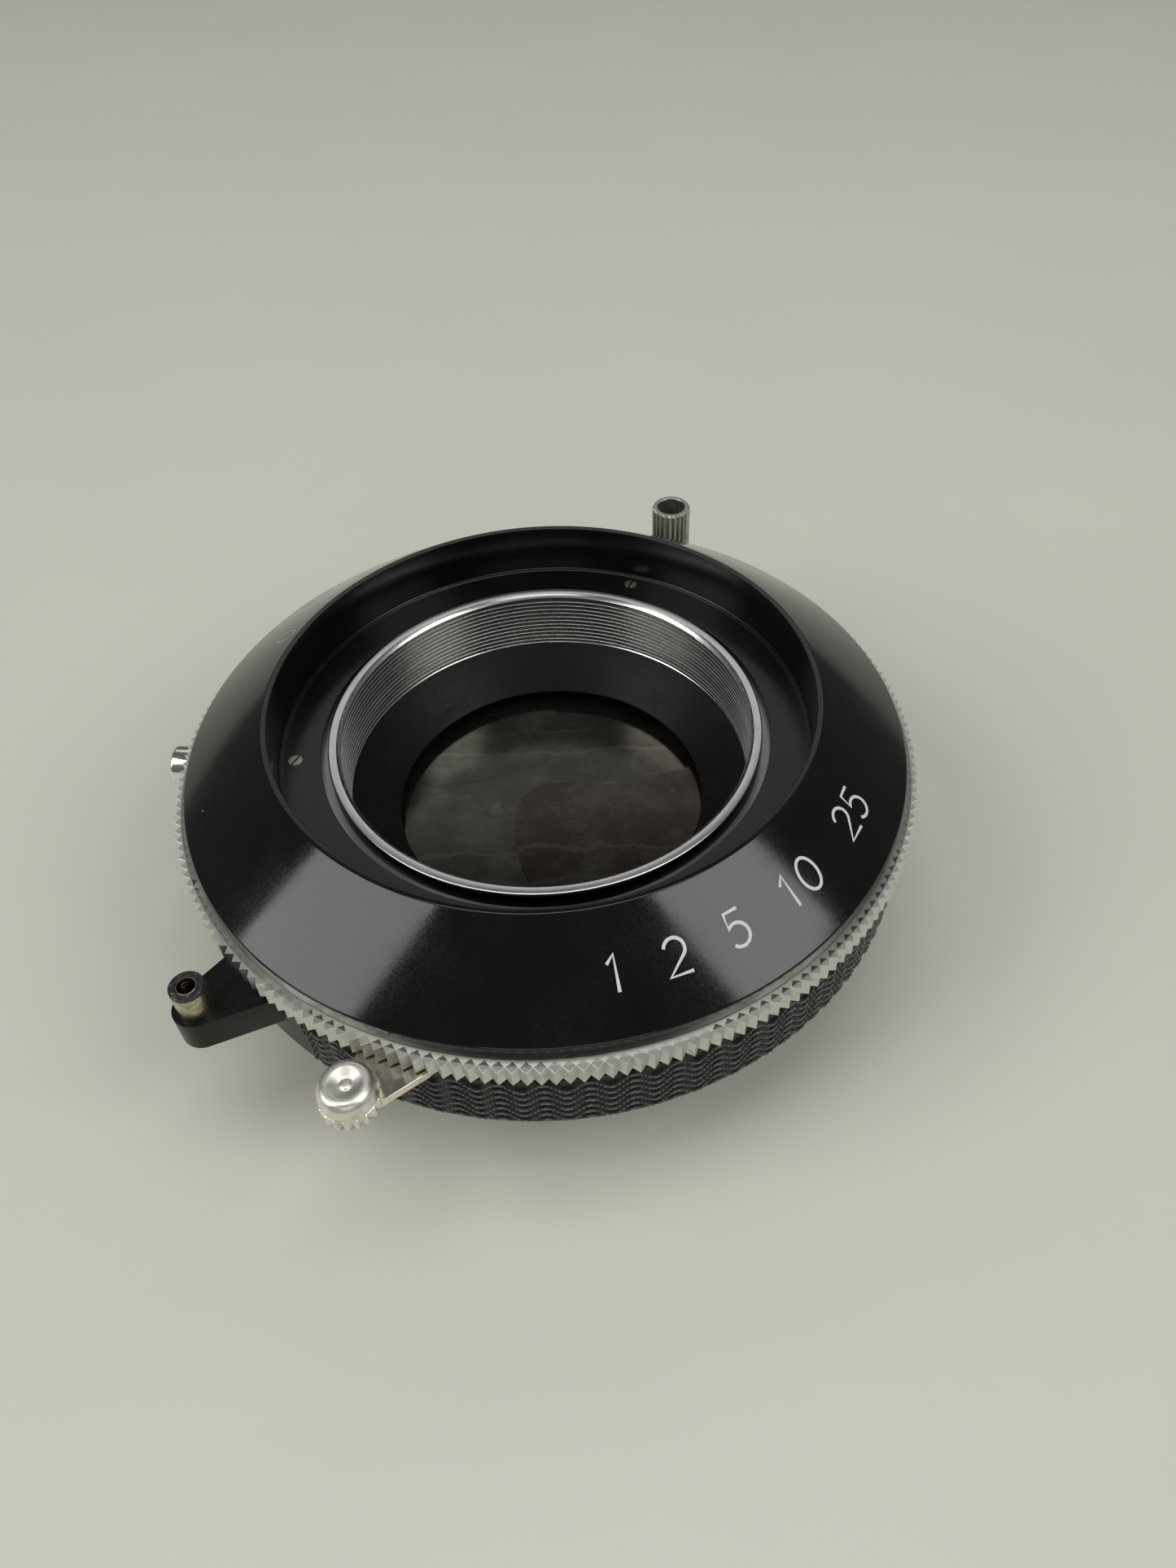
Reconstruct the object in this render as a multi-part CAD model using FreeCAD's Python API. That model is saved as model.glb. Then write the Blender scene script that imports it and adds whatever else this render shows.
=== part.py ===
import FreeCAD, Part
import os
from math import asin, atan2, ceil, cos, degrees, hypot, pi, radians, sin, sqrt

# Large-format leaf shutter without its lens cells, lying on its rear mounting tube.
# Millimetres.  Origin: centre of the rear tube's end face.  +Z: optical axis, to the front.
# Angles are in degrees, counter-clockwise from +X as seen from the front.

# ---- driving sizes: heights, from the rear face forwards --------------------------------
REAR_TUBE_L = 8.6        # rear tube, from its end face to its flange
FLANGE_T = 1.0           # rear tube flange, closes the iris housing
IRIS_CAVITY_H = 3.85     # room for the iris ring and blades
CASE_BACK_T = 1.0        # wall between iris and shutter blades
BLADE_CHAMBER_H = 2.55   # room for the shutter blades and their ring
BASE_T = 1.2             # plate that carries the mechanism
MECHANISM_H = 6.64       # room for levers and wheels, up to the case's top edge
SPEED_RING_T = 2.7
SPEED_WEB_T = 1.4        # thin inner disc of the speed ring
LIP_H = 2.0              # upright edge of the front cover
CONE_RISE = 8.83         # cone, from its outer edge up to its rim
RECESS_DEPTH = 7.8       # rim down to the sunk floor round the front tube
COVER_T = 1.3            # wall of the front cover
TUBE_PROUD = 1.25        # front tube above the sunk floor
FRONT_THREAD_L = 9.66    # threaded depth of the front tube

# ---- driving sizes: radii ---------------------------------------------------------------
APERTURE_R = 22.4        # clear opening
CELL_BORE_R = 28.65      # minor radius of the M58 x 0.75 cell threads
REAR_THREAD_R = CELL_BORE_R + 2.35   # M62 x 0.75 mounting thread of the rear tube
FRONT_TUBE_R = CELL_BORE_R + 1.68
HUB_R = FRONT_TUBE_R + 2.17          # turned shoulder on the front tube that the rings run on
FUNNEL_R = CELL_BORE_R + 0.95        # outside of the light baffle
CASE_R = 50.5
CASE_WALL = 1.7
CASE_IN_R = CASE_R - CASE_WALL
IRIS_HOUSING_R = CASE_R - 6.0
IRIS_WALL = 1.2
RECESS_R = HUB_R + 4.7
RIM_R = RECESS_R + 0.8
CONE_R = CASE_R - 0.25
COLLAR_R = RECESS_R - 0.4
FLOOR_GAP = 1.2          # gap between the front tube and the sunk floor
KNURL_TIP_R = CASE_R + 1.5
KNURL_DEPTH = 0.7
KNURL_COUNT = 200
WEB_STEP = 1.3           # where the speed ring thins, inside the case wall
CAM_SLOTS = [(38.5, 40.5, 20, 95), (43.0, 45.0, 150, 215), (38.5, 41.5, 250, 330)]

# ---- clearances -------------------------------------------------------------------------
RUN_R = 0.05             # radial clearance of a running fit
SLIDE_Z = 0.1            # height between a turning ring and its neighbour
SLOT_R = 0.15            # radial clearance of a drive pin in its slot
LEVER_GAP = 0.3          # clearance of a lever in a window

# ---- shutter blades ---------------------------------------------------------------------
BLADE_COUNT = 4
BLADE_T = 0.12
BLADE_PITCH_Z = 0.25
BLADE_LIFT = 0.2         # lowest blade above the case back
BLADE_PIVOT_R = 36.0
BLADE_FIRST_ANGLE = 10.0
BLADE_OPEN = 43.0        # swing from closed to fully open
BLADE_STUD_R = 1.0
BLADE_LOBE_R = 3.2
DRIVE_ARM = 5.5          # pivot to drive pin
DRIVE_PIN_R = 0.8
DRIVE_LOBE_R = 2.0
BLADE_RING_TRAVEL = 5.6
BLADE_RING_IN_R = 38.4
BASE_LIP_R = CASE_IN_R - 0.8
BLADE_RING_R = BASE_LIP_R - 2.0
BLADE_RING_T = 0.9
RING_STUD_RADIUS = BLADE_RING_R - 3.0   # stud that carries the ring's drive up through the base
RING_STUD_R = 0.8
RING_STUD_ANGLE = 199.0
RING_STUD_UP = 2.5

# ---- iris -------------------------------------------------------------------------------
IRIS_COUNT = 10
IRIS_T = 0.1
IRIS_PITCH_Z = 0.2
IRIS_IN_R = 22.9
IRIS_OUT_R = 35.5
IRIS_ARC = 96.0
IRIS_PIVOT_R = 38.8
IRIS_ARM = 3.2
IRIS_PIN_R = 0.7
IRIS_LOBE_R = 1.9
IRIS_CLOSE = 27.5        # swing of a blade from wide open to smallest stop
IRIS_RING_TRAVEL = 26.0
IRIS_RING_IN_R = 33.0
IRIS_RING_T = 1.0
APERTURE_LEVER_ANGLE = 69.0
LEVER_RIVET_APART = 3.2
APERTURE_LEVER_W = 7.0
APERTURE_POST_RADIUS = CASE_R + 7.9
APERTURE_POST_R = 3.3
APERTURE_POST_BORE_R = 2.35
APERTURE_POST_L = 10.5
APERTURE_POST_ABOVE = 2.86   # top of the post above the speed ring
POST_BORE_L = 8.0
APERTURE_STEM_R = 2.4
POST_FLUTES = 24

# ---- cocking lever ----------------------------------------------------------------------
COCK_T = 1.2
COCK_TRAVEL = 40.0
KNOB_RADIUS = CASE_R + 6.77
KNOB_ANGLE = -112.0
KNOB_R = 3.6
KNOB_H = 4.5
KNOB_SKIRT_H = 2.025      # height of its scalloped skirt
KNOB_SCALLOPS = 18
SCALLOP_R = 0.42
KNOB_DISH = 0.7          # depth of the hollow in its crown
KNOB_ROUND = 1.3         # rounding of its upper edge
KNOB_SEAT_R = 1.9        # round end of the lever under the knob

# ---- mechanism wheels -------------------------------------------------------------------
MODULE = 0.5
SECTOR_TEETH = 138
BARREL_TEETH = 26
RETARD_TEETH = 20
PINION_TEETH = 12
ESCAPE_TEETH = 14
ESCAPE_R = 4.2
BARREL_ANGLE = 30.0
WHEEL_T = 1.0
ARBOR_R = 0.8
RETARD_SLEEVE_R = 1.9    # sleeve below the retard wheel, on its arbor
ESCAPE_SLEEVE_R = 1.6
SPRING_TURNS = 4
SPRING_T = 0.3
SPRING_START_R = 1.9     # inner end of the main spring
BARREL_R = 5.8
BARREL_WALL = 0.5

# ---- release bracket and flash socket ---------------------------------------------------
BRACKET_ANGLE = -137.0
BRACKET_RADIUS = CASE_R + 7.4
BRACKET_END_R = 2.95
BRACKET_T = 4.8
BRACKET_DROP = 0.85      # its top face below the speed ring's underside
SOCKET_R = 2.15
SOCKET_H = 4.5
SOCKET_BORE_R = 1.05
SOCKET_CAP_T = 0.5
SOCKET_THREAD_L = 3.0    # depth of the cable thread
PLUNGER_R = 0.6
RELEASE_PIVOT_R = CASE_R - 1.0   # hinge of the rocker, inside the case wall
WELL_HALF_W = 1.3
WELL_ROOF = 1.6          # bracket left above the rocker's well
ROCKER_T = 1.0
ROCKER_W = 1.6
ROCKER_AXIS_UP = 2.1     # rocker hinge above the bracket's underside
ROCKER_PIN_R = 0.45
FOOT_LEFT = -148.0
FOOT_RIGHT = -126.0
FOOT_PROUD = 0.3
SYNC_ANGLE = 173.0
SYNC_ABOVE = 0.4         # socket axis above the base plate
SYNC_R = 3.05
SYNC_NECK_R = 2.7        # where the socket passes through the case wall
SYNC_BORE_R = 2.0
SYNC_REACH = CASE_R + 7.1
SYNC_PIN_R = 0.6
SYNC_DEPTH = 3.0         # bore left open in front of the insulator

# ---- fasteners --------------------------------------------------------------------------
COVER_SCREWS = 3
COVER_SCREW_RADIUS = RECESS_R - 2.25
COVER_SLOT_TURN = 35.0   # heading of the first cover screw's slot
COVER_SLOT_STEP = 50.0   # each screw stopped this much further round
COVER_SCREW_FIRST = 68.0
COVER_SCREW_HEAD_R = 0.95
COVER_SCREW_SHANK_R = 0.5
FLANGE_SCREWS = 5
FLANGE_SCREW_FIRST = 18.0
FLANGE_SCREW_RADIUS = REAR_THREAD_R + 9.2
PILLAR_R = 0.95
SMALL_SHANK_R = 0.6
SMALL_HEAD_R = 1.2
SCREW_SLOT_W = 0.36
SMALL_HEAD_T = 0.6

# ---- heights that follow ----------------------------------------------------------------
Z_FLANGE = REAR_TUBE_L
Z_IRIS = Z_FLANGE + FLANGE_T
Z_BACK = Z_IRIS + IRIS_CAVITY_H
Z_CHAMBER = Z_BACK + CASE_BACK_T
Z_BASE = Z_CHAMBER + BLADE_CHAMBER_H
Z_MECH = Z_BASE + BASE_T
Z_CASE_TOP = Z_MECH + MECHANISM_H
Z_RING = Z_CASE_TOP + SLIDE_Z
Z_RING_TOP = Z_RING + SPEED_RING_T
Z_LIP = Z_RING_TOP + SLIDE_Z
Z_CONE = Z_LIP + LIP_H
Z_RIM = Z_CONE + CONE_RISE
Z_FLOOR = Z_RIM - RECESS_DEPTH
Z_TUBE_FACE = Z_FLOOR + TUBE_PROUD
Z_THREAD_END = Z_TUBE_FACE - FRONT_THREAD_L
Z_COCK_TOP = Z_RING - LEVER_GAP
Z_COCK = Z_COCK_TOP - COCK_T
Z_BLADE_RING = Z_BASE - SLIDE_Z - BLADE_RING_T
IRIS_BORE_R = IRIS_HOUSING_R - IRIS_WALL
Z_BRACKET_TOP = Z_RING - BRACKET_DROP
Z_BRACKET = Z_BRACKET_TOP - BRACKET_T
Z_IRIS_RING = Z_IRIS + LEVER_GAP
Z_IRIS_BLADES = Z_IRIS_RING + IRIS_RING_T + LEVER_GAP
Z_POST_TOP = Z_RING_TOP + APERTURE_POST_ABOVE
Z_SYNC = Z_MECH + SYNC_ABOVE


# ---- small geometry helpers -------------------------------------------------------------
def vec(x, y, z=0.0):
    return FreeCAD.Vector(x, y, z)


def polar(radius, angle, z=0.0):
    return vec(radius * cos(radians(angle)), radius * sin(radians(angle)), z)


def disc(radius, z0, z1, at=None):
    centre = at if at is not None else vec(0, 0)
    return Part.makeCylinder(radius, z1 - z0, vec(centre.x, centre.y, z0))


def annulus(r_in, r_out, z0, z1):
    return disc(r_out, z0, z1).cut(disc(r_in, z0, z1))


def prism(points, z0, z1):
    corners = [vec(p.x, p.y, z0) for p in points]
    face = Part.Face(Part.makePolygon(corners + corners[:1]))
    return face.extrude(vec(0, 0, z1 - z0))


def turned(profile):
    """Revolve a closed (radius, height) profile about the optical axis."""
    corners = [vec(r, 0, z) for r, z in profile]
    face = Part.Face(Part.makePolygon(corners + corners[:1]))
    return face.revolve(vec(0, 0, 0), vec(0, 0, 1), 360)


def sector(r_in, r_out, angle0, angle1, z0, z1):
    """Piece of a ring between two angles, with true round faces."""
    a, b = polar(r_out, angle0, z0), polar(r_out, angle1, z0)
    c, d = polar(r_in, angle1, z0), polar(r_in, angle0, z0)
    middle = (angle0 + angle1) / 2
    edges = [Part.Arc(a, polar(r_out, middle, z0), b).toShape(),
             Part.LineSegment(b, c).toShape(),
             Part.Arc(c, polar(r_in, middle, z0), d).toShape(),
             Part.LineSegment(d, a).toShape()]
    return Part.Face(Part.Wire(edges)).extrude(vec(0, 0, z1 - z0))


def capsule(p, q, radius, z0, z1):
    """Round-ended bar between two plan points."""
    if (q - p).Length < 1e-6:
        return disc(radius, z0, z1, p)
    side = (q - p).normalize().cross(vec(0, 0, 1)).multiply(radius)
    bar = prism([p + side, q + side, q - side, p - side], z0, z1)
    return bar.fuse([disc(radius, z0, z1, p), disc(radius, z0, z1, q)])


def turn(point, angle, about=None):
    """A plan point turned about a plan centre."""
    centre = about if about is not None else vec(0, 0)
    x, y = point.x - centre.x, point.y - centre.y
    c, s = cos(radians(angle)), sin(radians(angle))
    return vec(centre.x + c * x - s * y, centre.y + s * x + c * y)


def rotated(shape, angle, about=None):
    centre = about if about is not None else vec(0, 0)
    copy = shape.copy()
    copy.rotate(centre, vec(0, 0, 1), angle)
    return copy


def around(shape, count, first=0.0):
    """Copies of a shape at equal angles about the optical axis, as a list."""
    return [rotated(shape, first + i * 360.0 / count) for i in range(count)]


def tangent_point(outside, centre, radius, side):
    """Where a line from an outside point touches a circle, on the side +1 or -1."""
    to_centre = centre - outside
    spread = degrees(asin(radius / to_centre.Length))
    length = sqrt(to_centre.Length ** 2 - radius ** 2)
    heading = degrees(atan2(to_centre.y, to_centre.x)) + side * spread
    return vec(outside.x + length * cos(radians(heading)), outside.y + length * sin(radians(heading)))


def gear(teeth, centre, first_angle, z0, z1, bore_r, only=None):
    """Spur wheel with straight-sided teeth; `only` limits the teeth to some indices."""
    pitch_r = MODULE * teeth / 2
    root_r, tip_r = pitch_r - 1.25 * MODULE, pitch_r + 0.85 * MODULE
    root_half, tip_half = 0.30 * pi * MODULE, 0.11 * pi * MODULE
    wheel = disc(root_r, z0, z1, centre)
    cuts = []
    for i in only if only is not None else range(teeth):
        angle = first_angle + i * 360.0 / teeth
        along, across = polar(1, angle), polar(1, angle + 90)
        inner, outer = centre + along * (root_r - 0.2), centre + along * tip_r
        cuts.append(prism([inner - across * root_half, outer - across * tip_half,
                           outer + across * tip_half, inner + across * root_half], z0, z1))
    return wheel.fuse(cuts).removeSplitter().cut(disc(bore_r, z0, z1, centre))


def mating_angle(first_angle, teeth, heading, mate_teeth):
    """First tooth angle of a wheel that meshes with another in a given direction."""
    pitch, mate_pitch = 360.0 / teeth, 360.0 / mate_teeth
    lead = ((heading - first_angle) / pitch) % 1.0
    return heading + 180 + (lead + 0.5) * mate_pitch


# ---- fixed casing -----------------------------------------------------------------------
def case_body():
    wall = annulus(CASE_IN_R, CASE_R, Z_BACK, Z_CASE_TOP)
    back = annulus(APERTURE_R + 0.2, CASE_IN_R, Z_BACK, Z_CHAMBER)
    housing = annulus(IRIS_BORE_R, IRIS_HOUSING_R, Z_FLANGE, Z_BACK)
    body = wall.fuse([back, housing])
    lever_window = sector(IRIS_BORE_R - 0.5, IRIS_HOUSING_R + 0.5, APERTURE_LEVER_ANGLE - 6,
                          APERTURE_LEVER_ANGLE + IRIS_RING_TRAVEL + 6, Z_IRIS, Z_IRIS_BLADES)
    cock_window = sector(CASE_IN_R - 1, CASE_R + 1, KNOB_ANGLE - 7, KNOB_ANGLE + COCK_TRAVEL + 11,
                         Z_COCK - LEVER_GAP, Z_CASE_TOP + 1)
    foot_window = sector(CASE_IN_R - 1, CASE_R + 1, FOOT_LEFT, FOOT_RIGHT, Z_BRACKET, Z_CASE_TOP + 1)
    body = body.cut([lever_window, cock_window, foot_window, sync_cylinder(SYNC_NECK_R, CASE_IN_R - 2, CASE_R + 2)])
    holes = [disc(IRIS_PIN_R + RUN_R, Z_BACK, Z_BACK + 0.65, iris_pivot(i)) for i in range(IRIS_COUNT)]
    return body.cut(holes)


def rear_tube():
    tube = annulus(CELL_BORE_R, REAR_THREAD_R, 0, Z_FLANGE)
    flange = annulus(APERTURE_R + 0.4, IRIS_BORE_R, Z_FLANGE, Z_IRIS)
    body = tube.fuse(flange).removeSplitter()
    return body.cut([flange_screw_solid(p) for p in flange_screw_places()])


def flange_screw_places():
    return [polar(FLANGE_SCREW_RADIUS, FLANGE_SCREW_FIRST + i * 360.0 / FLANGE_SCREWS) for i in range(FLANGE_SCREWS)]


def flange_screw_solid(place):
    """Flush countersunk screw without its slot, its head to the rear."""
    sink = SMALL_HEAD_R - SMALL_SHANK_R
    head = Part.makeCone(SMALL_HEAD_R, SMALL_SHANK_R, sink, vec(place.x, place.y, Z_FLANGE))
    return head.fuse(disc(SMALL_SHANK_R, Z_FLANGE + sink, Z_IRIS, place)).removeSplitter()


def flange_screws():
    screws = []
    for i, place in enumerate(flange_screw_places()):
        slot = Part.makeBox(4, SCREW_SLOT_W, 0.3, vec(-2, -SCREW_SLOT_W / 2, Z_FLANGE - 0.02))
        slot.rotate(vec(0, 0), vec(0, 0, 1), 20 + 65 * i)
        slot.translate(vec(place.x, place.y))
        screws.append(flange_screw_solid(place).cut(slot))
    return screws


def cheese_head_screw(place, z_seat, length):
    """Screw whose slotted head stands on its seat and whose shank goes down."""
    head = disc(SMALL_HEAD_R, z_seat, z_seat + SMALL_HEAD_T, place)
    shank = disc(SMALL_SHANK_R, z_seat - length, z_seat, place)
    slot = Part.makeBox(2 * SMALL_HEAD_R, SCREW_SLOT_W, SMALL_HEAD_T / 2,
                        vec(place.x - SMALL_HEAD_R, place.y - SCREW_SLOT_W / 2, z_seat + SMALL_HEAD_T / 2))
    return head.fuse(shank).removeSplitter().cut(slot)


def front_tube():
    """Threaded cell tube with the shoulder that the speed and cocking rings run on."""
    return turned([(CELL_BORE_R, Z_THREAD_END), (CELL_BORE_R, Z_TUBE_FACE), (FRONT_TUBE_R, Z_TUBE_FACE),
                   (FRONT_TUBE_R, Z_LIP), (HUB_R, Z_LIP), (HUB_R, Z_MECH), (FUNNEL_R, Z_MECH),
                   (FUNNEL_R, Z_THREAD_END)])


def funnel_baffle():
    return turned([(CELL_BORE_R, Z_THREAD_END), (FUNNEL_R, Z_THREAD_END), (FUNNEL_R, Z_BASE),
                   (APERTURE_R, Z_BASE), (APERTURE_R, Z_BASE + 0.2)])


def base_plate():
    plate = annulus(FUNNEL_R, CASE_IN_R, Z_BASE, Z_MECH)
    lip = annulus(BLADE_RING_R + RUN_R, BASE_LIP_R, Z_BLADE_RING, Z_BASE)
    plate = plate.fuse(lip).removeSplitter()
    cuts = [disc(SMALL_SHANK_R, Z_BLADE_RING, Z_MECH, p) for p in pillar_places()]
    half = RING_STUD_R + SLOT_R
    cuts.append(sector(RING_STUD_RADIUS - half, RING_STUD_RADIUS + half, RING_STUD_ANGLE - 2,
                       RING_STUD_ANGLE + BLADE_RING_TRAVEL + 3, Z_BASE, Z_MECH))
    return plate.cut(cuts)


def pillar_places():
    radius = (BLADE_RING_R + RUN_R + BASE_LIP_R) / 2
    return [polar(radius, BLADE_FIRST_ANGLE + 9 + i * 90) for i in range(4)]


def base_pillars():
    return [disc(PILLAR_R, Z_CHAMBER, Z_BLADE_RING, p) for p in pillar_places()]


def base_screws():
    return [cheese_head_screw(p, Z_MECH, Z_MECH - Z_BLADE_RING) for p in pillar_places()]


def blade_studs():
    return [disc(BLADE_STUD_R, Z_CHAMBER, Z_BASE, blade_pivot(i)) for i in range(BLADE_COUNT)]


def bearing_collar():
    collar = annulus(FRONT_TUBE_R, COLLAR_R, Z_LIP, Z_FLOOR - COVER_T)
    return collar.cut([disc(COVER_SCREW_SHANK_R, Z_LIP, Z_FLOOR, p) for p in cover_screw_places()])


def front_cover():
    """Black cone with an upright lip, a raised rim and a sunk floor round the tube."""
    slope = hypot(CONE_R - RIM_R, CONE_RISE)
    inset = COVER_T * slope / (CONE_R - RIM_R)
    wall_r = RECESS_R + COVER_T
    inner_top = Z_RIM - inset - (wall_r - RIM_R) * CONE_RISE / (CONE_R - RIM_R)
    lip_in_r = CONE_R - COVER_T
    inner_low = Z_CONE - inset + COVER_T * CONE_RISE / (CONE_R - RIM_R)
    floor_in_r = FRONT_TUBE_R + FLOOR_GAP
    cover = turned([(RECESS_R, Z_RIM), (RIM_R, Z_RIM), (CONE_R, Z_CONE), (CONE_R, Z_LIP), (lip_in_r, Z_LIP),
                    (lip_in_r, inner_low), (wall_r, inner_top), (wall_r, Z_FLOOR - COVER_T),
                    (floor_in_r, Z_FLOOR - COVER_T), (floor_in_r, Z_FLOOR), (RECESS_R, Z_FLOOR)])
    return cover.cut([cover_screw_solid(p) for p in cover_screw_places()])


def cover_screw_places():
    return [polar(COVER_SCREW_RADIUS, COVER_SCREW_FIRST + i * 360.0 / COVER_SCREWS) for i in range(COVER_SCREWS)]


def cover_screw_solid(place):
    """Flush countersunk screw without its slot."""
    head_t = COVER_SCREW_HEAD_R - COVER_SCREW_SHANK_R
    head = Part.makeCone(COVER_SCREW_SHANK_R, COVER_SCREW_HEAD_R, head_t, vec(place.x, place.y, Z_FLOOR - head_t))
    return head.fuse(disc(COVER_SCREW_SHANK_R, Z_LIP, Z_FLOOR - head_t, place)).removeSplitter()


def cover_screws():
    screws = []
    for i, place in enumerate(cover_screw_places()):
        slot = Part.makeBox(4, 0.3, 0.3, vec(-2, -0.15, Z_FLOOR - 0.25))
        slot.rotate(vec(0, 0), vec(0, 0, 1), COVER_SLOT_TURN + COVER_SLOT_STEP * i)
        slot.translate(vec(place.x, place.y))
        screws.append(cover_screw_solid(place).cut(slot))
    return screws


# ---- speed ring -------------------------------------------------------------------------
def speed_ring():
    root_r = KNURL_TIP_R - KNURL_DEPTH
    points = []
    for i in range(KNURL_COUNT):
        points.append(polar(root_r, i * 360.0 / KNURL_COUNT))
        points.append(polar(KNURL_TIP_R, (i + 0.5) * 360.0 / KNURL_COUNT))
    rim = prism(points, Z_RING, Z_RING_TOP).cut(disc(CASE_IN_R - WEB_STEP, Z_RING, Z_RING_TOP))
    web = annulus(HUB_R + RUN_R, CASE_IN_R - WEB_STEP, Z_RING_TOP - SPEED_WEB_T, Z_RING_TOP)
    cams = [sector(r0, r1, a0, a1, Z_RING, Z_RING_TOP + 1) for r0, r1, a0, a1 in CAM_SLOTS]
    return rim.fuse(web).removeSplitter().cut(cams)


# ---- shutter blades and their ring ------------------------------------------------------
def blade_pivot(index):
    return polar(BLADE_PIVOT_R, BLADE_FIRST_ANGLE - 90.0 * index)


def blade_bottom(index):
    return Z_CHAMBER + BLADE_LIFT + (BLADE_COUNT - 1 - index) * BLADE_PITCH_Z


def blade_outline():
    """Plan outline of the first blade, closed: curved nose, two long edges and the root."""
    nose = [(13.0, 3.5), (7.8, 2.8), (4.3, 3.25), (0.0, 3.8), (-2.2, 3.0), (-4.3, 0.9), (-5.3, -1.7),
            (-5.6, -5.2), (-5.2, -8.7), (-4.3, -12.1), (-3.0, -15.6)]
    outer = [(-1.0, -19.5), (6.0, -22.6), (13.0, -20.6), (19.0, -15.4), (23.5, -8.0), (27.0, -1.0)]
    root_top = [(36.0, 9.4), (28.0, 8.0), (22.3, 6.5)]
    root_low = [(33.6, 2.6)]
    return [vec(x, y) for x, y in root_top + nose + outer + root_low]


def drive_pin_place(pivot, pivot_angle):
    return pivot + polar(DRIVE_ARM, pivot_angle - BLADE_OPEN / 2)


def shutter_blade(index):
    """Thin blade with a pivot hole and a drive pin that reaches into the blade ring."""
    pivot = blade_pivot(0)
    pin = drive_pin_place(pivot, BLADE_FIRST_ANGLE)
    z0 = blade_bottom(index)
    z1 = z0 + BLADE_T
    leaf = prism(blade_outline(), z0, z1)
    leaf = leaf.fuse([disc(BLADE_LOBE_R, z0, z1, pivot), capsule(pivot, pin, DRIVE_LOBE_R, z0, z1)])
    leaf = leaf.removeSplitter().cut(disc(BLADE_STUD_R + RUN_R, z0, z1, pivot))
    leaf = leaf.fuse(disc(DRIVE_PIN_R, z1, Z_BASE - 0.2, pin))
    return rotated(leaf, -90.0 * index)


def slot_path(pin, pivot, swing, travel, steps):
    """Where a pin on a swinging blade goes, as seen from the ring that drives it."""
    return [turn(turn(pin, swing * i / steps, pivot), -travel * i / steps) for i in range(steps + 1)]


def cam_slot(path, radius, z0, z1):
    bars = [capsule(p, q, radius, z0, z1) for p, q in zip(path, path[1:])]
    return bars[0].fuse(bars[1:]).removeSplitter()


def blade_ring():
    ring = annulus(BLADE_RING_IN_R, BLADE_RING_R, Z_BLADE_RING, Z_BLADE_RING + BLADE_RING_T)
    pivot = blade_pivot(0)
    pin = drive_pin_place(pivot, BLADE_FIRST_ANGLE)
    path = slot_path(pin, pivot, BLADE_OPEN, BLADE_RING_TRAVEL, 6)
    slot = cam_slot(path, DRIVE_PIN_R + SLOT_R, Z_BLADE_RING, Z_BLADE_RING + BLADE_RING_T)
    stud = disc(RING_STUD_R, Z_BLADE_RING + BLADE_RING_T, Z_MECH + RING_STUD_UP,
                polar(RING_STUD_RADIUS, RING_STUD_ANGLE))
    return ring.cut(around(slot, BLADE_COUNT)).fuse(stud)


# ---- iris -------------------------------------------------------------------------------
def iris_angle(index):
    return index * 360.0 / IRIS_COUNT


def iris_pivot(index):
    return polar(IRIS_PIVOT_R, iris_angle(index))


def iris_pin_place(pivot, pivot_angle):
    return pivot + polar(IRIS_ARM, pivot_angle - 90 - IRIS_CLOSE / 2)


def iris_blade(index):
    """Crescent blade: pivot pin to the front, drive pin to the rear."""
    pivot = iris_pivot(0)
    pin = iris_pin_place(pivot, 0)
    z0 = Z_IRIS_BLADES + index * IRIS_PITCH_Z
    z1 = z0 + IRIS_T
    middle = (IRIS_IN_R + IRIS_OUT_R) / 2
    half = (IRIS_OUT_R - IRIS_IN_R) / 2
    leaf = sector(IRIS_IN_R, IRIS_OUT_R, 0, IRIS_ARC, z0, z1)
    leaf = leaf.fuse([disc(half, z0, z1, polar(middle, 0)), disc(half, z0, z1, polar(middle, IRIS_ARC)),
                      capsule(polar(middle + 2, 0), pivot, IRIS_LOBE_R, z0, z1),
                      capsule(pivot, pin, IRIS_LOBE_R - 0.4, z0, z1)]).removeSplitter()
    leaf = leaf.fuse([disc(IRIS_PIN_R, z1, Z_BACK + 0.5, pivot), disc(IRIS_PIN_R, Z_IRIS_RING + 0.15, z0, pin)])
    return rotated(leaf, iris_angle(index))


def iris_ring():
    ring = annulus(IRIS_RING_IN_R, IRIS_BORE_R - SLIDE_Z, Z_IRIS_RING, Z_IRIS_RING + IRIS_RING_T)
    pivot = iris_pivot(0)
    path = slot_path(iris_pin_place(pivot, 0), pivot, IRIS_CLOSE, IRIS_RING_TRAVEL, 8)
    slot = cam_slot(path, IRIS_PIN_R + SLOT_R, Z_IRIS_RING, Z_IRIS_RING + IRIS_RING_T)
    tab = Part.makeBox(8, APERTURE_LEVER_W - 1, IRIS_RING_T,
                       vec(IRIS_HOUSING_R - 3, -(APERTURE_LEVER_W - 1) / 2, Z_IRIS_RING))
    tab.rotate(vec(0, 0), vec(0, 0, 1), APERTURE_LEVER_ANGLE)
    ring = ring.cut(around(slot, IRIS_COUNT)).fuse(tab).removeSplitter()
    return ring.cut([disc(SMALL_SHANK_R, Z_IRIS_RING, Z_IRIS_RING + IRIS_RING_T, p) for p in rivet_places()])


def rivet_places():
    radius = IRIS_HOUSING_R + 3.2
    return [turn(vec(radius, side), APERTURE_LEVER_ANGLE) for side in (-LEVER_RIVET_APART / 2, LEVER_RIVET_APART / 2)]


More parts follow.
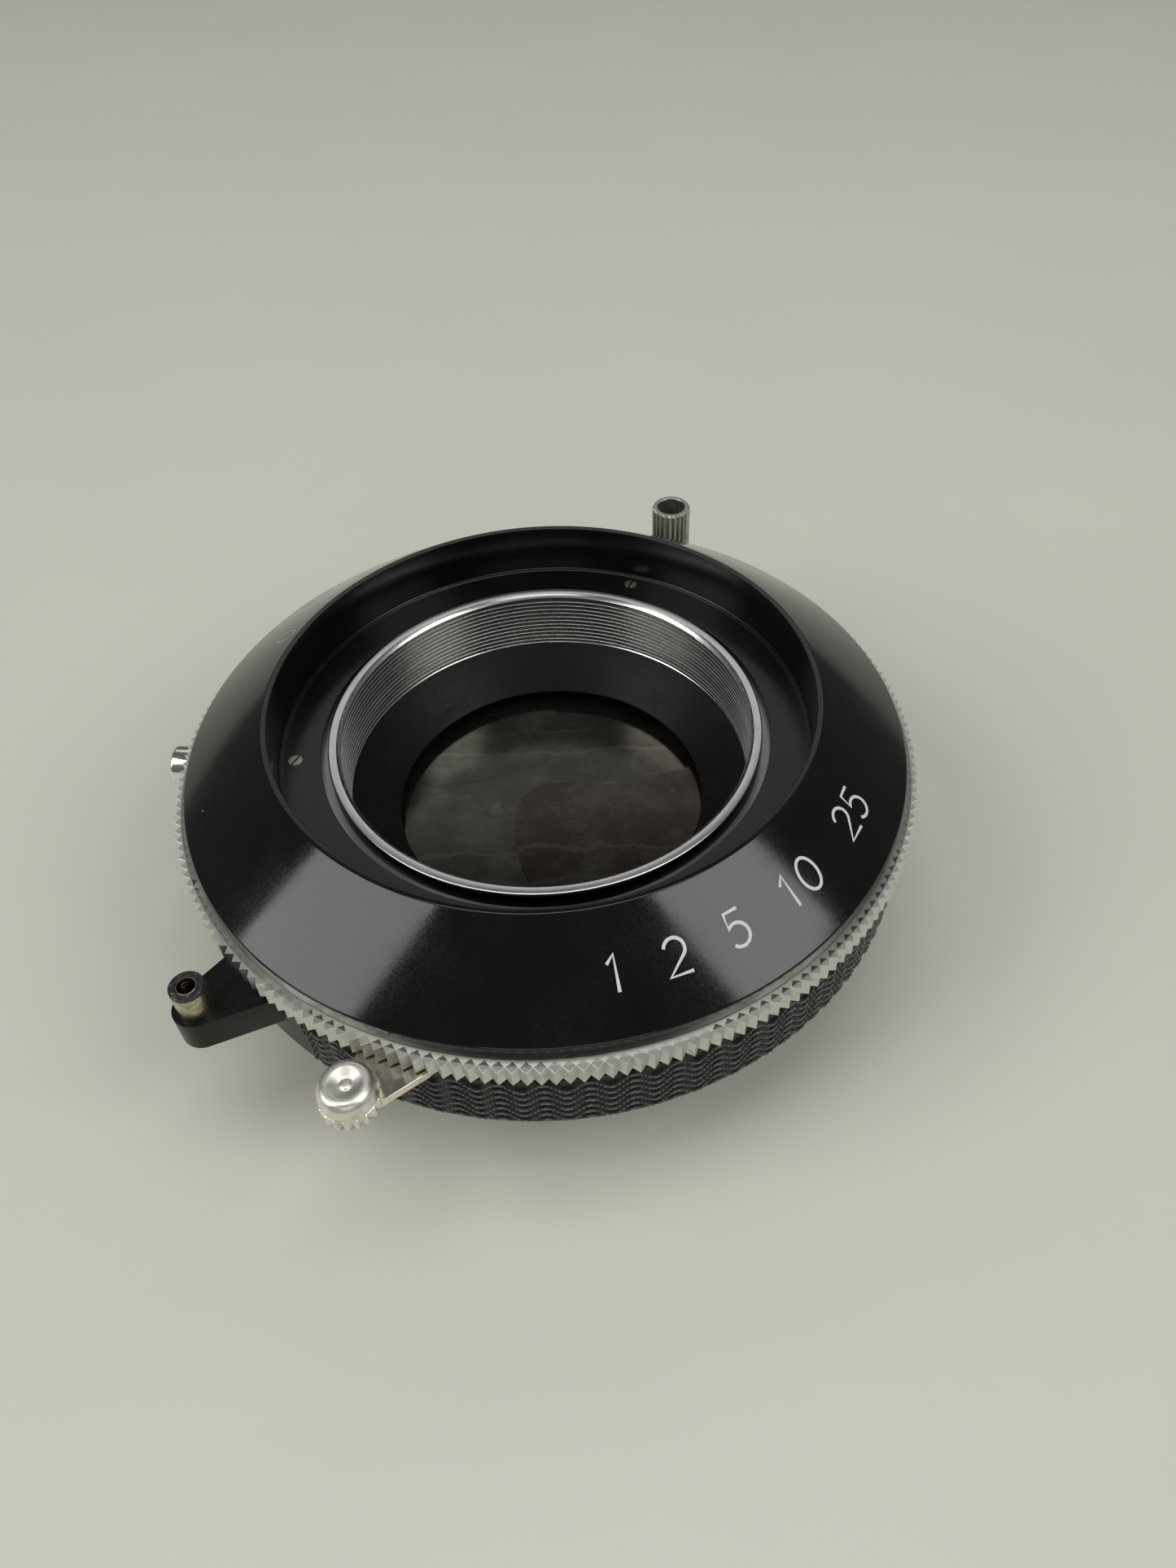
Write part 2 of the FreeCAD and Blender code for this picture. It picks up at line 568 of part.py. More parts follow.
def aperture_lever():
    """Flat arm under the iris ring's tab, reaching out past the case."""
    z0, z1 = Z_IRIS_RING - 1.0, Z_IRIS_RING
    inner, outer = IRIS_HOUSING_R + 0.7, APERTURE_POST_RADIUS
    half, tip = APERTURE_LEVER_W / 2, APERTURE_POST_R + 0.2
    arm = prism([vec(inner, -half), vec(outer, -tip), vec(outer, tip), vec(inner, half)], z0, z1)
    arm = arm.fuse(disc(tip, z0, z1, vec(outer, 0))).removeSplitter()
    arm = rotated(arm, APERTURE_LEVER_ANGLE)
    return arm.cut([disc(SMALL_SHANK_R, z0, z1, p) for p in rivet_places()])


def lever_rivets():
    z0, z1 = Z_IRIS_RING - 1.0, Z_IRIS_RING + IRIS_RING_T
    return [disc(SMALL_SHANK_R, z0, z1, p).fuse(disc(SMALL_HEAD_R - 0.2, z1, z1 + 0.3, p)) for p in rivet_places()]


def aperture_post():
    """Hollow knurled finger post on a plain stem."""
    centre = polar(APERTURE_POST_RADIUS, APERTURE_LEVER_ANGLE)
    z_low = Z_POST_TOP - APERTURE_POST_L
    post = disc(APERTURE_POST_R, z_low, Z_POST_TOP, centre)
    flute_r = pi * APERTURE_POST_R / POST_FLUTES * 0.55
    flutes = [disc(flute_r, z_low, Z_POST_TOP, centre + polar(APERTURE_POST_R + 0.1, i * 360.0 / POST_FLUTES))
              for i in range(POST_FLUTES)]
    post = post.cut(flutes).cut(disc(APERTURE_POST_BORE_R, Z_POST_TOP - POST_BORE_L, Z_POST_TOP, centre))
    return post.fuse(disc(APERTURE_STEM_R, Z_IRIS_RING, z_low, centre)).removeSplitter()


# ---- cocking lever ----------------------------------------------------------------------
def cocking_lever():
    """Ring on the hub with a toothed sector and an arm out through the case."""
    step = 360.0 / SECTOR_TEETH
    reach = ceil((COCK_TRAVEL + 10) / step)
    wheel = gear(SECTOR_TEETH, vec(0, 0), BARREL_ANGLE, Z_COCK, Z_COCK_TOP, HUB_R + SLIDE_Z, range(-reach, 4))
    knob = polar(KNOB_RADIUS, KNOB_ANGLE)
    right, left = polar(CASE_R + 0.8, KNOB_ANGLE + 7.3), polar(CASE_R + 0.8, KNOB_ANGLE - 3.0)
    arm = prism([polar(HUB_R + 1, KNOB_ANGLE + 14), right, tangent_point(right, knob, KNOB_SEAT_R, 1),
                 tangent_point(left, knob, KNOB_SEAT_R, -1), left, polar(HUB_R + 1, KNOB_ANGLE - 14)],
                Z_COCK, Z_COCK_TOP)
    body = wheel.fuse([arm, disc(KNOB_SEAT_R, Z_COCK, Z_COCK_TOP, knob)]).removeSplitter()
    return body.cut(disc(HUB_R + SLIDE_Z, Z_COCK, Z_COCK_TOP))


def cocking_knob():
    """Button with a scalloped skirt and a dished crown."""
    centre = polar(KNOB_RADIUS, KNOB_ANGLE)
    z_skirt, z_top = Z_COCK_TOP + KNOB_SKIRT_H, Z_COCK_TOP + KNOB_H
    crown_r = KNOB_R - 0.1
    crown = disc(crown_r, Z_COCK_TOP, z_top)
    crown = crown.makeFillet(KNOB_ROUND, [edge for edge in crown.Edges if edge.CenterOfMass.z > z_top - 0.01])
    rim_r = crown_r - KNOB_ROUND
    ball_r = (rim_r ** 2 + KNOB_DISH ** 2) / (2 * KNOB_DISH)
    dish = Part.makeSphere(ball_r, vec(0, 0, z_top - KNOB_DISH + ball_r))
    bites = [disc(SCALLOP_R, Z_COCK_TOP, z_skirt, polar(KNOB_R + 0.12, i * 360.0 / KNOB_SCALLOPS))
             for i in range(KNOB_SCALLOPS)]
    skirt = disc(KNOB_R, Z_COCK_TOP, z_skirt).cut(bites)
    core = disc(crown_r - 0.4, Z_COCK_TOP, z_skirt)
    upper = crown.cut([dish, disc(KNOB_R + 1, 0, z_skirt)])
    button = upper.fuse([skirt, core]).removeSplitter()
    button.translate(centre)
    return button


# ---- mechanism wheels -------------------------------------------------------------------
def pitch_radius(teeth):
    return MODULE * teeth / 2


def wheel_places():
    """Centres of barrel, retard wheel, escape wheel and pallet."""
    barrel_r = pitch_radius(SECTOR_TEETH) + pitch_radius(BARREL_TEETH)
    barrel = polar(barrel_r, BARREL_ANGLE)
    gap = pitch_radius(BARREL_TEETH) + pitch_radius(RETARD_TEETH)
    retard = polar(barrel_r, BARREL_ANGLE + degrees(2 * asin(gap / 2 / barrel_r)))
    gap = pitch_radius(RETARD_TEETH) + pitch_radius(PINION_TEETH)
    escape = polar(barrel_r, degrees(atan2(retard.y, retard.x)) + degrees(2 * asin(gap / 2 / barrel_r)))
    pallet = polar(barrel_r, degrees(atan2(escape.y, escape.x)) + degrees(2 * asin(7.0 / 2 / barrel_r)))
    return barrel, retard, escape, pallet


def heading(a, b):
    return degrees(atan2(b.y - a.y, b.x - a.x))


def wheel_angles():
    barrel, retard, escape, _ = wheel_places()
    barrel_first = mating_angle(BARREL_ANGLE, SECTOR_TEETH, BARREL_ANGLE, BARREL_TEETH)
    retard_first = mating_angle(barrel_first, BARREL_TEETH, heading(barrel, retard), RETARD_TEETH)
    escape_first = mating_angle(retard_first, RETARD_TEETH, heading(retard, escape), PINION_TEETH)
    return barrel_first, retard_first, escape_first


def spring_barrel():
    centre = wheel_places()[0]
    z_cup = Z_MECH + 0.4
    cup = disc(BARREL_R, z_cup, Z_COCK, centre).cut(disc(BARREL_R - BARREL_WALL, z_cup, Z_COCK - 0.6, centre))
    wheel = gear(BARREL_TEETH, centre, wheel_angles()[0], Z_COCK, Z_COCK_TOP, ARBOR_R + 0.4 + RUN_R)
    return cup.fuse(wheel).removeSplitter().cut(disc(ARBOR_R + 0.4 + RUN_R, z_cup, Z_COCK_TOP, centre))


def main_spring():
    """Flat coiled spring in the barrel."""
    centre = wheel_places()[0]
    turns, thickness, start = SPRING_TURNS, SPRING_T, SPRING_START_R
    pitch = (BARREL_R - BARREL_WALL - RUN_R - start - thickness) / turns
    steps = 24 * turns
    outer = [centre + polar(start + thickness + pitch * i / 24.0, i * 15.0) for i in range(steps + 1)]
    inner = [centre + polar(start + pitch * i / 24.0, i * 15.0) for i in range(steps + 1)]
    return prism(outer + inner[::-1], Z_MECH + 0.8, Z_COCK - 1.0)


def retard_wheel():
    centre = wheel_places()[1]
    wheel = gear(RETARD_TEETH, centre, wheel_angles()[1], Z_COCK, Z_COCK + WHEEL_T, ARBOR_R + RUN_R)
    sleeve = disc(RETARD_SLEEVE_R, Z_MECH + 0.3, Z_COCK, centre).cut(disc(ARBOR_R + RUN_R, Z_MECH + 0.3, Z_COCK, centre))
    return wheel.fuse(sleeve).removeSplitter()


def escape_wheel():
    centre = wheel_places()[2]
    pinion = gear(PINION_TEETH, centre, wheel_angles()[2], Z_COCK, Z_COCK + WHEEL_T, ARBOR_R + RUN_R)
    sleeve = disc(ESCAPE_SLEEVE_R, Z_MECH + 0.3, Z_COCK, centre)
    points = []
    for i in range(ESCAPE_TEETH):
        points.append(centre + polar(ESCAPE_R - 1.1, i * 360.0 / ESCAPE_TEETH))
        points.append(centre + polar(ESCAPE_R, (i + 0.8) * 360.0 / ESCAPE_TEETH))
    star = prism(points, Z_MECH + 1.4, Z_MECH + 2.2)
    return pinion.fuse([sleeve, star]).removeSplitter().cut(disc(ARBOR_R + RUN_R, Z_MECH, Z_COCK_TOP, centre))


def pallet_lever():
    """Rocking pallet with two noses beside the escape wheel and a weighted tail."""
    _, _, escape, centre = wheel_places()
    aim = heading(centre, escape)
    z0, z1 = Z_MECH + 1.4, Z_MECH + 2.2
    noses = [capsule(centre, centre + polar(2.2, aim + side * 62), 0.5, z0, z1) for side in (-1, 1)]
    tail = capsule(centre, centre + polar(3.6, aim + 180), 1.0, z0, z1)
    body = disc(1.5, Z_MECH + 0.3, Z_MECH + 3.0, centre).fuse(noses + [tail]).removeSplitter()
    return body.cut(disc(ARBOR_R + RUN_R, Z_MECH, Z_COCK_TOP, centre))


def arbors():
    barrel, retard, escape, pallet = wheel_places()
    pins = [disc(ARBOR_R, Z_MECH, Z_COCK + WHEEL_T, p) for p in (retard, escape)]
    pins.append(disc(ARBOR_R, Z_MECH, Z_MECH + 3.3, pallet))
    pins.append(disc(ARBOR_R + 0.4, Z_MECH, Z_COCK_TOP, barrel))
    return pins


# ---- release bracket, socket and plunger ------------------------------------------------
def socket_place():
    return polar(BRACKET_RADIUS, BRACKET_ANGLE)


def release_bracket():
    """Lug on the case that carries the cable-release socket."""
    centre = socket_place()
    left, right = polar(CASE_R, BRACKET_ANGLE - 4.5), polar(CASE_R, BRACKET_ANGLE + 7.2)
    plan = prism([left, tangent_point(left, centre, BRACKET_END_R, -1),
                  tangent_point(right, centre, BRACKET_END_R, 1), right, polar(CASE_R - 1, BRACKET_ANGLE)],
                 Z_BRACKET, Z_BRACKET_TOP)
    foot = sector(CASE_IN_R, CASE_R + FOOT_PROUD, FOOT_LEFT, FOOT_RIGHT, Z_BRACKET, Z_CASE_TOP)
    lug = plan.fuse([disc(BRACKET_END_R, Z_BRACKET, Z_BRACKET_TOP, centre), foot]).removeSplitter()
    well = capsule(centre, polar(CASE_IN_R - 2, BRACKET_ANGLE), WELL_HALF_W, Z_BRACKET, Z_BRACKET_TOP - WELL_ROOF)
    hole = disc(PLUNGER_R + RUN_R, Z_BRACKET, Z_BRACKET_TOP, centre)
    return lug.cut([well, hole])


def release_socket():
    """Sleeve with the cable thread above and the plunger's guide below."""
    centre = socket_place()
    top = Z_BRACKET_TOP + SOCKET_H
    sleeve = disc(SOCKET_R, Z_BRACKET_TOP, top - SOCKET_CAP_T, centre)
    thread = disc(SOCKET_BORE_R, top - SOCKET_THREAD_L, top, centre)
    return sleeve.cut([thread, disc(PLUNGER_R + RUN_R, Z_BRACKET_TOP, top, centre)])


def socket_cap():
    centre = socket_place()
    top = Z_BRACKET_TOP + SOCKET_H
    return disc(SOCKET_R, top - SOCKET_CAP_T, top, centre).cut(disc(SOCKET_BORE_R, 0, top, centre))


def release_plunger():
    rocker_top = Z_BRACKET + ROCKER_AXIS_UP + ROCKER_T / 2
    return disc(PLUNGER_R, rocker_top + RUN_R, Z_BRACKET_TOP + SOCKET_H - SOCKET_THREAD_L, socket_place())


def release_lever():
    """Rocker in the bracket's well that the plunger presses at its outer end."""
    z_axis = Z_BRACKET + ROCKER_AXIS_UP
    inner = RELEASE_PIVOT_R - 3.5
    bar = Part.makeBox(BRACKET_RADIUS + 1.0 - inner, ROCKER_W, ROCKER_T,
                       vec(inner, -ROCKER_W / 2, z_axis - ROCKER_T / 2))
    eye = Part.makeCylinder(0.95, ROCKER_W, vec(RELEASE_PIVOT_R, -ROCKER_W / 2, z_axis), vec(0, 1, 0))
    hole = Part.makeCylinder(ROCKER_PIN_R + RUN_R, 3, vec(RELEASE_PIVOT_R, -1.5, z_axis), vec(0, 1, 0))
    lever = bar.fuse(eye).removeSplitter().cut(hole)
    return rotated(lever, BRACKET_ANGLE)


def release_pin():
    start = vec(RELEASE_PIVOT_R, -WELL_HALF_W, Z_BRACKET + ROCKER_AXIS_UP)
    return rotated(Part.makeCylinder(ROCKER_PIN_R, 2 * WELL_HALF_W, start, vec(0, 1, 0)), BRACKET_ANGLE)


# ---- flash socket -----------------------------------------------------------------------
def sync_cylinder(radius, r0, r1):
    start = polar(r0, SYNC_ANGLE, Z_SYNC)
    return Part.makeCylinder(radius, r1 - r0, start, polar(1, SYNC_ANGLE))


def sync_socket():
    sleeve = sync_cylinder(SYNC_R, CASE_R, SYNC_REACH)
    neck = sync_cylinder(SYNC_NECK_R, CASE_IN_R, CASE_R)
    return sleeve.fuse(neck).cut(sync_cylinder(SYNC_BORE_R, 0, SYNC_REACH + 1))


def sync_insulator():
    body = sync_cylinder(SYNC_BORE_R, CASE_IN_R, SYNC_REACH - SYNC_DEPTH)
    return body.cut(sync_cylinder(SYNC_PIN_R, 0, SYNC_REACH))


def sync_contact():
    return sync_cylinder(SYNC_PIN_R, CASE_IN_R, SYNC_REACH - SYNC_PIN_R)


# ---- writing the nodes ------------------------------------------------------------------
def write(name, shape):
    if isinstance(shape, list):
        shape = shape[0] if len(shape) == 1 else Part.makeCompound(shape)
    for solid in shape.Solids:
        if not solid.isValid():
            print("not valid:", name)
    print(f"{name:20s} solids {len(shape.Solids):3d} volume {shape.Volume:10.2f}")
    shape.exportStep(f"parts/{name}.step")


def main():
    os.makedirs("parts", exist_ok=True)
    makers = [case_body, rear_tube, flange_screws, front_tube, funnel_baffle, base_plate, base_pillars,
              base_screws, blade_studs, bearing_collar, front_cover, cover_screws, speed_ring, blade_ring,
              iris_ring, aperture_lever, lever_rivets, aperture_post, cocking_lever, cocking_knob,
              spring_barrel, main_spring, retard_wheel, escape_wheel, pallet_lever, arbors, release_bracket,
              release_socket, socket_cap, release_plunger, release_lever, release_pin, sync_socket,
              sync_insulator, sync_contact]
    for maker in makers:
        write(maker.__name__, maker())
    for i in range(BLADE_COUNT):
        write(f"shutter_blade_{i + 1}", shutter_blade(i))
    for i in range(IRIS_COUNT):
        write(f"iris_blade_{i + 1:02d}", iris_blade(i))


main()
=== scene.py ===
"""Looks of a large-format leaf shutter that lies on its rear tube.

Sizes of the object are millimetres, turned into metres as meshes are made; the studio's are metres.
Angles are degrees, counter-clockwise from +X as seen from the front.
"""
import logging
from dataclasses import dataclass
from enum import Enum
from math import cos, hypot, pi, radians, sin
from typing import Callable

import bmesh
import bpy
import numpy as np
from mathutils import Matrix, Vector


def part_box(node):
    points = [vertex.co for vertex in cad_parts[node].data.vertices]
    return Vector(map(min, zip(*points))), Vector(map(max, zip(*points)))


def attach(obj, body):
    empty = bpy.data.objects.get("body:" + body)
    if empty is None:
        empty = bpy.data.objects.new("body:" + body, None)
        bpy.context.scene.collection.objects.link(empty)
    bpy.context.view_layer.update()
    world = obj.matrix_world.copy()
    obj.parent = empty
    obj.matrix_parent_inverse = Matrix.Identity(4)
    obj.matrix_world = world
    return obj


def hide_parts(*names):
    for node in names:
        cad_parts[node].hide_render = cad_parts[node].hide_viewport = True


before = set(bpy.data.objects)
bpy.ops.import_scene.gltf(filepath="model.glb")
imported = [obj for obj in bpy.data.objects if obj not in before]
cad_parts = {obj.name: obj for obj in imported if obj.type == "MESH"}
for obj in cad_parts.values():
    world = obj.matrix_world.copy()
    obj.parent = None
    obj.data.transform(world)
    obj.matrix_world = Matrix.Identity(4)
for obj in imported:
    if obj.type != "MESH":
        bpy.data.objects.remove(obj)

LOG = logging.getLogger("leaf_shutter")
MM = 0.001
CREASE = 32.0            # degrees; sharper edges stay sharp
THREAD_CREASE = 40.0
STROKE_CREASE = 50.0
THREAD_ROWS = 8          # rows of points to one turn of a thread
SOCKET_HEADING = 173.0   # direction that the flash socket points in
DUST = (0.26, 0.25, 0.22)
# near-black painted shade for the outer wall of a tube, where it lies in shadow
SHADE_BLACK = (0.012, 0.012, 0.012)
# dark brown painted shade for the inside of a bore
BORE_SHADE = (0.022, 0.009, 0.007)
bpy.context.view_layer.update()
Loop = list[tuple[float, ...]]
Groups = tuple[tuple[str, float], ...]
Ripple = Callable[[np.ndarray, np.ndarray, np.ndarray], tuple[np.ndarray, np.ndarray]]


# ---- sizes taken from the frame ----------------------------------------------------------
def extent(node: str) -> tuple[Vector, Vector]:
    """Lowest and highest corner of a CAD node.

    Args:
        node: name of the node.
    Returns:
        The two corners, in millimetres.
    """
    low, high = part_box(node)
    return low / MM, high / MM


def centre_of(node: str) -> tuple[float, float]:
    """Plan centre of a CAD node, in millimetres."""
    low, high = extent(node)
    return (low.x + high.x) / 2, (low.y + high.y) / 2


# ---- meshes ------------------------------------------------------------------------------
def new_piece(name: str, points: np.ndarray, faces: list, crease: float = CREASE) -> bpy.types.Object:
    """Make a mesh piece with outward normals.

    Args:
        name: name of the piece.
        points: corner points, in millimetres.
        faces: point numbers of each face.
        crease: edges sharper than this, in degrees, stay sharp.
    Returns:
        The new object, at the origin.
    """
    mesh = bpy.data.meshes.new(name)
    mesh.from_pydata((np.asarray(points, float) * MM).tolist(), [], faces)
    piece = bpy.data.objects.new(name, mesh)
    bpy.context.scene.collection.objects.link(piece)
    heal(piece)
    shade(piece, crease)
    return piece


def heal(piece: bpy.types.Object) -> None:
    """Merge doubled points and turn the faces outwards.

    Args:
        piece: the piece whose mesh is mended.
    """
    work = bmesh.new()
    work.from_mesh(piece.data)
    bmesh.ops.remove_doubles(work, verts=work.verts, dist=1e-7)
    bmesh.ops.recalc_face_normals(work, faces=work.faces)
    work.to_mesh(piece.data)
    work.free()


def shade(piece: bpy.types.Object, crease: float) -> None:
    """Shade smooth, apart from edges sharper than the crease angle."""
    piece.data.shade_smooth()
    piece.data.set_sharp_from_angle(angle=radians(crease))


def soften(corners: Loop, size: float = 0.12, steps: int = 3) -> Loop:
    """Round the corners of a closed cross-section.

    Args:
        corners: (radius, height) of each corner, with a rounding of its own as an optional third.
        size: how far from a corner its rounding starts.
        steps: pieces that each rounding is made of.
    Returns:
        The rounded cross-section.
    """
    most, least = 0.45, 1e-3
    rounded = []
    for i, corner in enumerate(corners):
        here = np.array(corner[:2], float)
        back = np.array(corners[i - 1][:2], float) - here
        ahead = np.array(corners[(i + 1) % len(corners)][:2], float) - here
        own = corner[2] if len(corner) > 2 else size
        reach = min(own, most * np.hypot(*back), most * np.hypot(*ahead))
        if reach < least:
            rounded.append(tuple(here))
            continue
        start = here + back / np.hypot(*back) * reach
        end = here + ahead / np.hypot(*ahead) * reach
        for t in np.linspace(0, 1, steps + 1):
            rounded.append(tuple((1 - t) ** 2 * start + 2 * t * (1 - t) * here + t ** 2 * end))
    return rounded


def revolve(name: str, loop: Loop, segments: int = 192, ripple: Ripple | None = None,
            centre: tuple[float, float] = (0.0, 0.0), closed: bool = True,
            crease: float = CREASE) -> bpy.types.Object:
    """Turn a cross-section about an upright axis.

    Args:
        name: name of the piece.
        loop: (radius, height) points of the cross-section.
        segments: steps around the axis.
        ripple: gives each point's new radius and height, for flutes and threads.
        centre: plan place of the axis.
        closed: whether the last point joins the first, or both lie on the axis.
        crease: edges sharper than this stay sharp.
    Returns:
        The turned piece.
    """
    section = np.array([p[:2] for p in loop], float)
    turn = np.arange(segments + 1) * 2 * pi / segments
    radius = np.repeat(section[None, :, 0], segments + 1, 0)
    height = np.repeat(section[None, :, 1], segments + 1, 0)
    angle = np.repeat(turn[:, None], len(section), 1)
    if ripple is not None:
        radius, height = ripple(radius, height, angle)
    points = np.stack([centre[0] + radius * np.cos(angle), centre[1] + radius * np.sin(angle), height], -1)
    rows = len(section)
    i, j = np.meshgrid(np.arange(segments), np.arange(rows if closed else rows - 1), indexing="ij")
    k, m = i + 1, (j + 1) % rows
    quads = np.stack([i * rows + j, k * rows + j, k * rows + m, i * rows + m], -1).reshape(-1, 4)
    return new_piece(name, points.reshape(-1, 3), quads.tolist(), crease)


def thread_wall(radius: float, low: float, high: float, pitch: float, upwards: bool = True) -> Loop:
    """Rows of points for a helical thread, from one turn below its low end to its high end."""
    rows = np.arange(low - pitch, high + 1e-6, pitch / THREAD_ROWS)
    return [(radius, float(z)) for z in (rows if upwards else rows[::-1])]


def ladder(radius: float, low: float, high: float, step: float) -> Loop:
    """Evenly spaced points up a straight wall."""
    count = max(2, int(round(abs(high - low) / step)) + 1)
    return [(radius, float(z)) for z in np.linspace(low, high, count)]


def thread(wall: float, depth: float, pitch: float, low: float, high: float) -> Ripple:
    """Ripple that winds a wall's rows into a helix and cuts a thread along them.

    Args:
        wall: radius of the wall that is cut.
        depth: how far the roots lie from the wall, outwards if positive.
        pitch: rise of one turn.
        low: height at which the thread starts.
        high: height at which it ends.
    Returns:
        The ripple for `revolve`.
    """
    touch, crest, steep, run_out = 1e-4, 0.28, 6.0, 0.3

    def cut(radius: np.ndarray, height: np.ndarray, angle: np.ndarray) -> tuple[np.ndarray, np.ndarray]:
        """Radius and height of each point after the thread is cut."""
        on_wall = np.abs(radius - wall) < touch
        share = ((height - low) / pitch) % 1.0
        flank = np.clip((np.abs(share - 0.5) - crest) * steep, 0, 1)
        wound = np.clip(height + pitch * angle / (2 * pi), low, high)
        fade = np.clip((wound - low) / run_out, 0, 1) * np.clip((high - wound) / run_out, 0, 1)
        return np.where(on_wall, radius + depth * flank * fade, radius), np.where(on_wall, wound, height)
    return cut


def flutes(count: int, depth: float, low: float, high: float, inner: float, sharp: float = 1.0) -> Ripple:
    """Ripple that cuts upright flutes into an outer wall.

    Args:
        count: number of flutes.
        depth: depth of a flute.
        low: height at which they start.
        high: height at which they end.
        inner: points inside this radius are left alone.
        sharp: above 1 for narrow flutes.
    Returns:
        The ripple for `revolve`.
    """
    def cut(radius: np.ndarray, height: np.ndarray, angle: np.ndarray) -> tuple[np.ndarray, np.ndarray]:
        """Radius and height of each point after the flutes are cut."""
        wave = (0.5 + 0.5 * np.cos(angle * count)) ** sharp
        inside = (height >= low) & (height <= high) & (radius > inner)
        return np.where(inside, radius - depth * wave, radius), height
    return cut


def set_in_place(piece: bpy.types.Object, matrix: Matrix) -> bpy.types.Object:
    """Move a piece's mesh by a matrix in metres, leaving its object at the origin."""
    piece.data.transform(matrix)
    return piece


def bake(piece: bpy.types.Object) -> bpy.types.Object:
    """Turn a piece's modifiers into plain mesh.

    Args:
        piece: the piece.
    Returns:
        The same piece, with its new mesh.
    """
    bpy.context.view_layer.update()
    graph = bpy.context.evaluated_depsgraph_get()
    mesh = bpy.data.meshes.new_from_object(piece.evaluated_get(graph), depsgraph=graph)
    piece.modifiers.clear()
    old, piece.data = piece.data, mesh
    bpy.data.meshes.remove(old)
    return piece


def eased(name: str, node: str, edge: float, crease: float = CREASE) -> bpy.types.Object:
    """Copy of a CAD node with its sharp edges eased.

    Args:
        name: name of the new piece.
        node: CAD node that is copied.
        edge: width of the small bevel on its edges.
        crease: edges sharper than this are bevelled.
    Returns:
        The new piece.
    """
    piece = bpy.data.objects.new(name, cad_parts[node].data.copy())
    bpy.context.scene.collection.objects.link(piece)
    work = bmesh.new()
    work.from_mesh(piece.data)
    bmesh.ops.remove_doubles(work, verts=work.verts, dist=2e-6)
    bmesh.ops.dissolve_limit(work, angle_limit=radians(1.0), verts=work.verts, edges=work.edges)
    work.to_mesh(piece.data)
    work.free()
    shade(piece, crease)
    bevel = piece.modifiers.new("eased edges", "BEVEL")
    bevel.harden_normals = True
    bevel.width, bevel.segments, bevel.limit_method = edge * MM, 2, "ANGLE"
    bevel.angle_limit, bevel.use_clamp_overlap = radians(crease), True
    return bake(piece)


# ---- nodes -------------------------------------------------------------------------------
class Nodes:
    """A node tree of either kind, built a node at a time."""

    def __init__(self, tree: bpy.types.NodeTree) -> None:
        """Take the tree that the nodes go into."""
        self.tree = tree

    def feed(self, socket: bpy.types.NodeSocket, value: object) -> None:
        """Link an input to a socket, or give it a value."""
        if isinstance(value, bpy.types.NodeSocket):
            self.tree.links.new(value, socket)
        else:
            socket.default_value = value

    def add(self, kind: str, inputs: dict | None = None, **settings: object) -> bpy.types.Node:
        """Add a node.

        Args:
            kind: Blender's name of the node.
            inputs: a value or a socket for each of its inputs, by name or number.
            settings: its properties.
        Returns:
            The node.
        """
        node = self.tree.nodes.new(kind)
        for key, value in settings.items():
            setattr(node, key, value)
        for key, value in (inputs or {}).items():
            self.feed(node.inputs[key], value)
        return node

    def math(self, operation: str, *terms: object) -> bpy.types.NodeSocket:
        """Result of one arithmetic step."""
        return self.add("ShaderNodeMath", dict(enumerate(terms)), operation=operation).outputs[0]

    def plus(self, first: object, second: object) -> bpy.types.NodeSocket:
        """Sum of two values."""
        return self.math("ADD", first, second)

    def minus(self, first: object, second: object) -> bpy.types.NodeSocket:
        """Difference of two values."""
        return self.math("SUBTRACT", first, second)

    def times(self, first: object, second: object) -> bpy.types.NodeSocket:
        """Product of two values."""
        return self.math("MULTIPLY", first, second)

    def length(self, x: object, y: object) -> bpy.types.NodeSocket:
        """Length of the line whose legs are x and y."""
        return self.math("SQRT", self.plus(self.times(x, x), self.times(y, y)))

    def split(self, vector: object) -> tuple[bpy.types.NodeSocket, ...]:
        """The three values of a vector."""
        return tuple(self.add("ShaderNodeSeparateXYZ", {0: vector}).outputs)

    def vector(self, x: object = 0.0, y: object = 0.0, z: object = 0.0) -> bpy.types.NodeSocket:
        """Three values as one vector."""
        return self.add("ShaderNodeCombineXYZ", {0: x, 1: y, 2: z}).outputs[0]


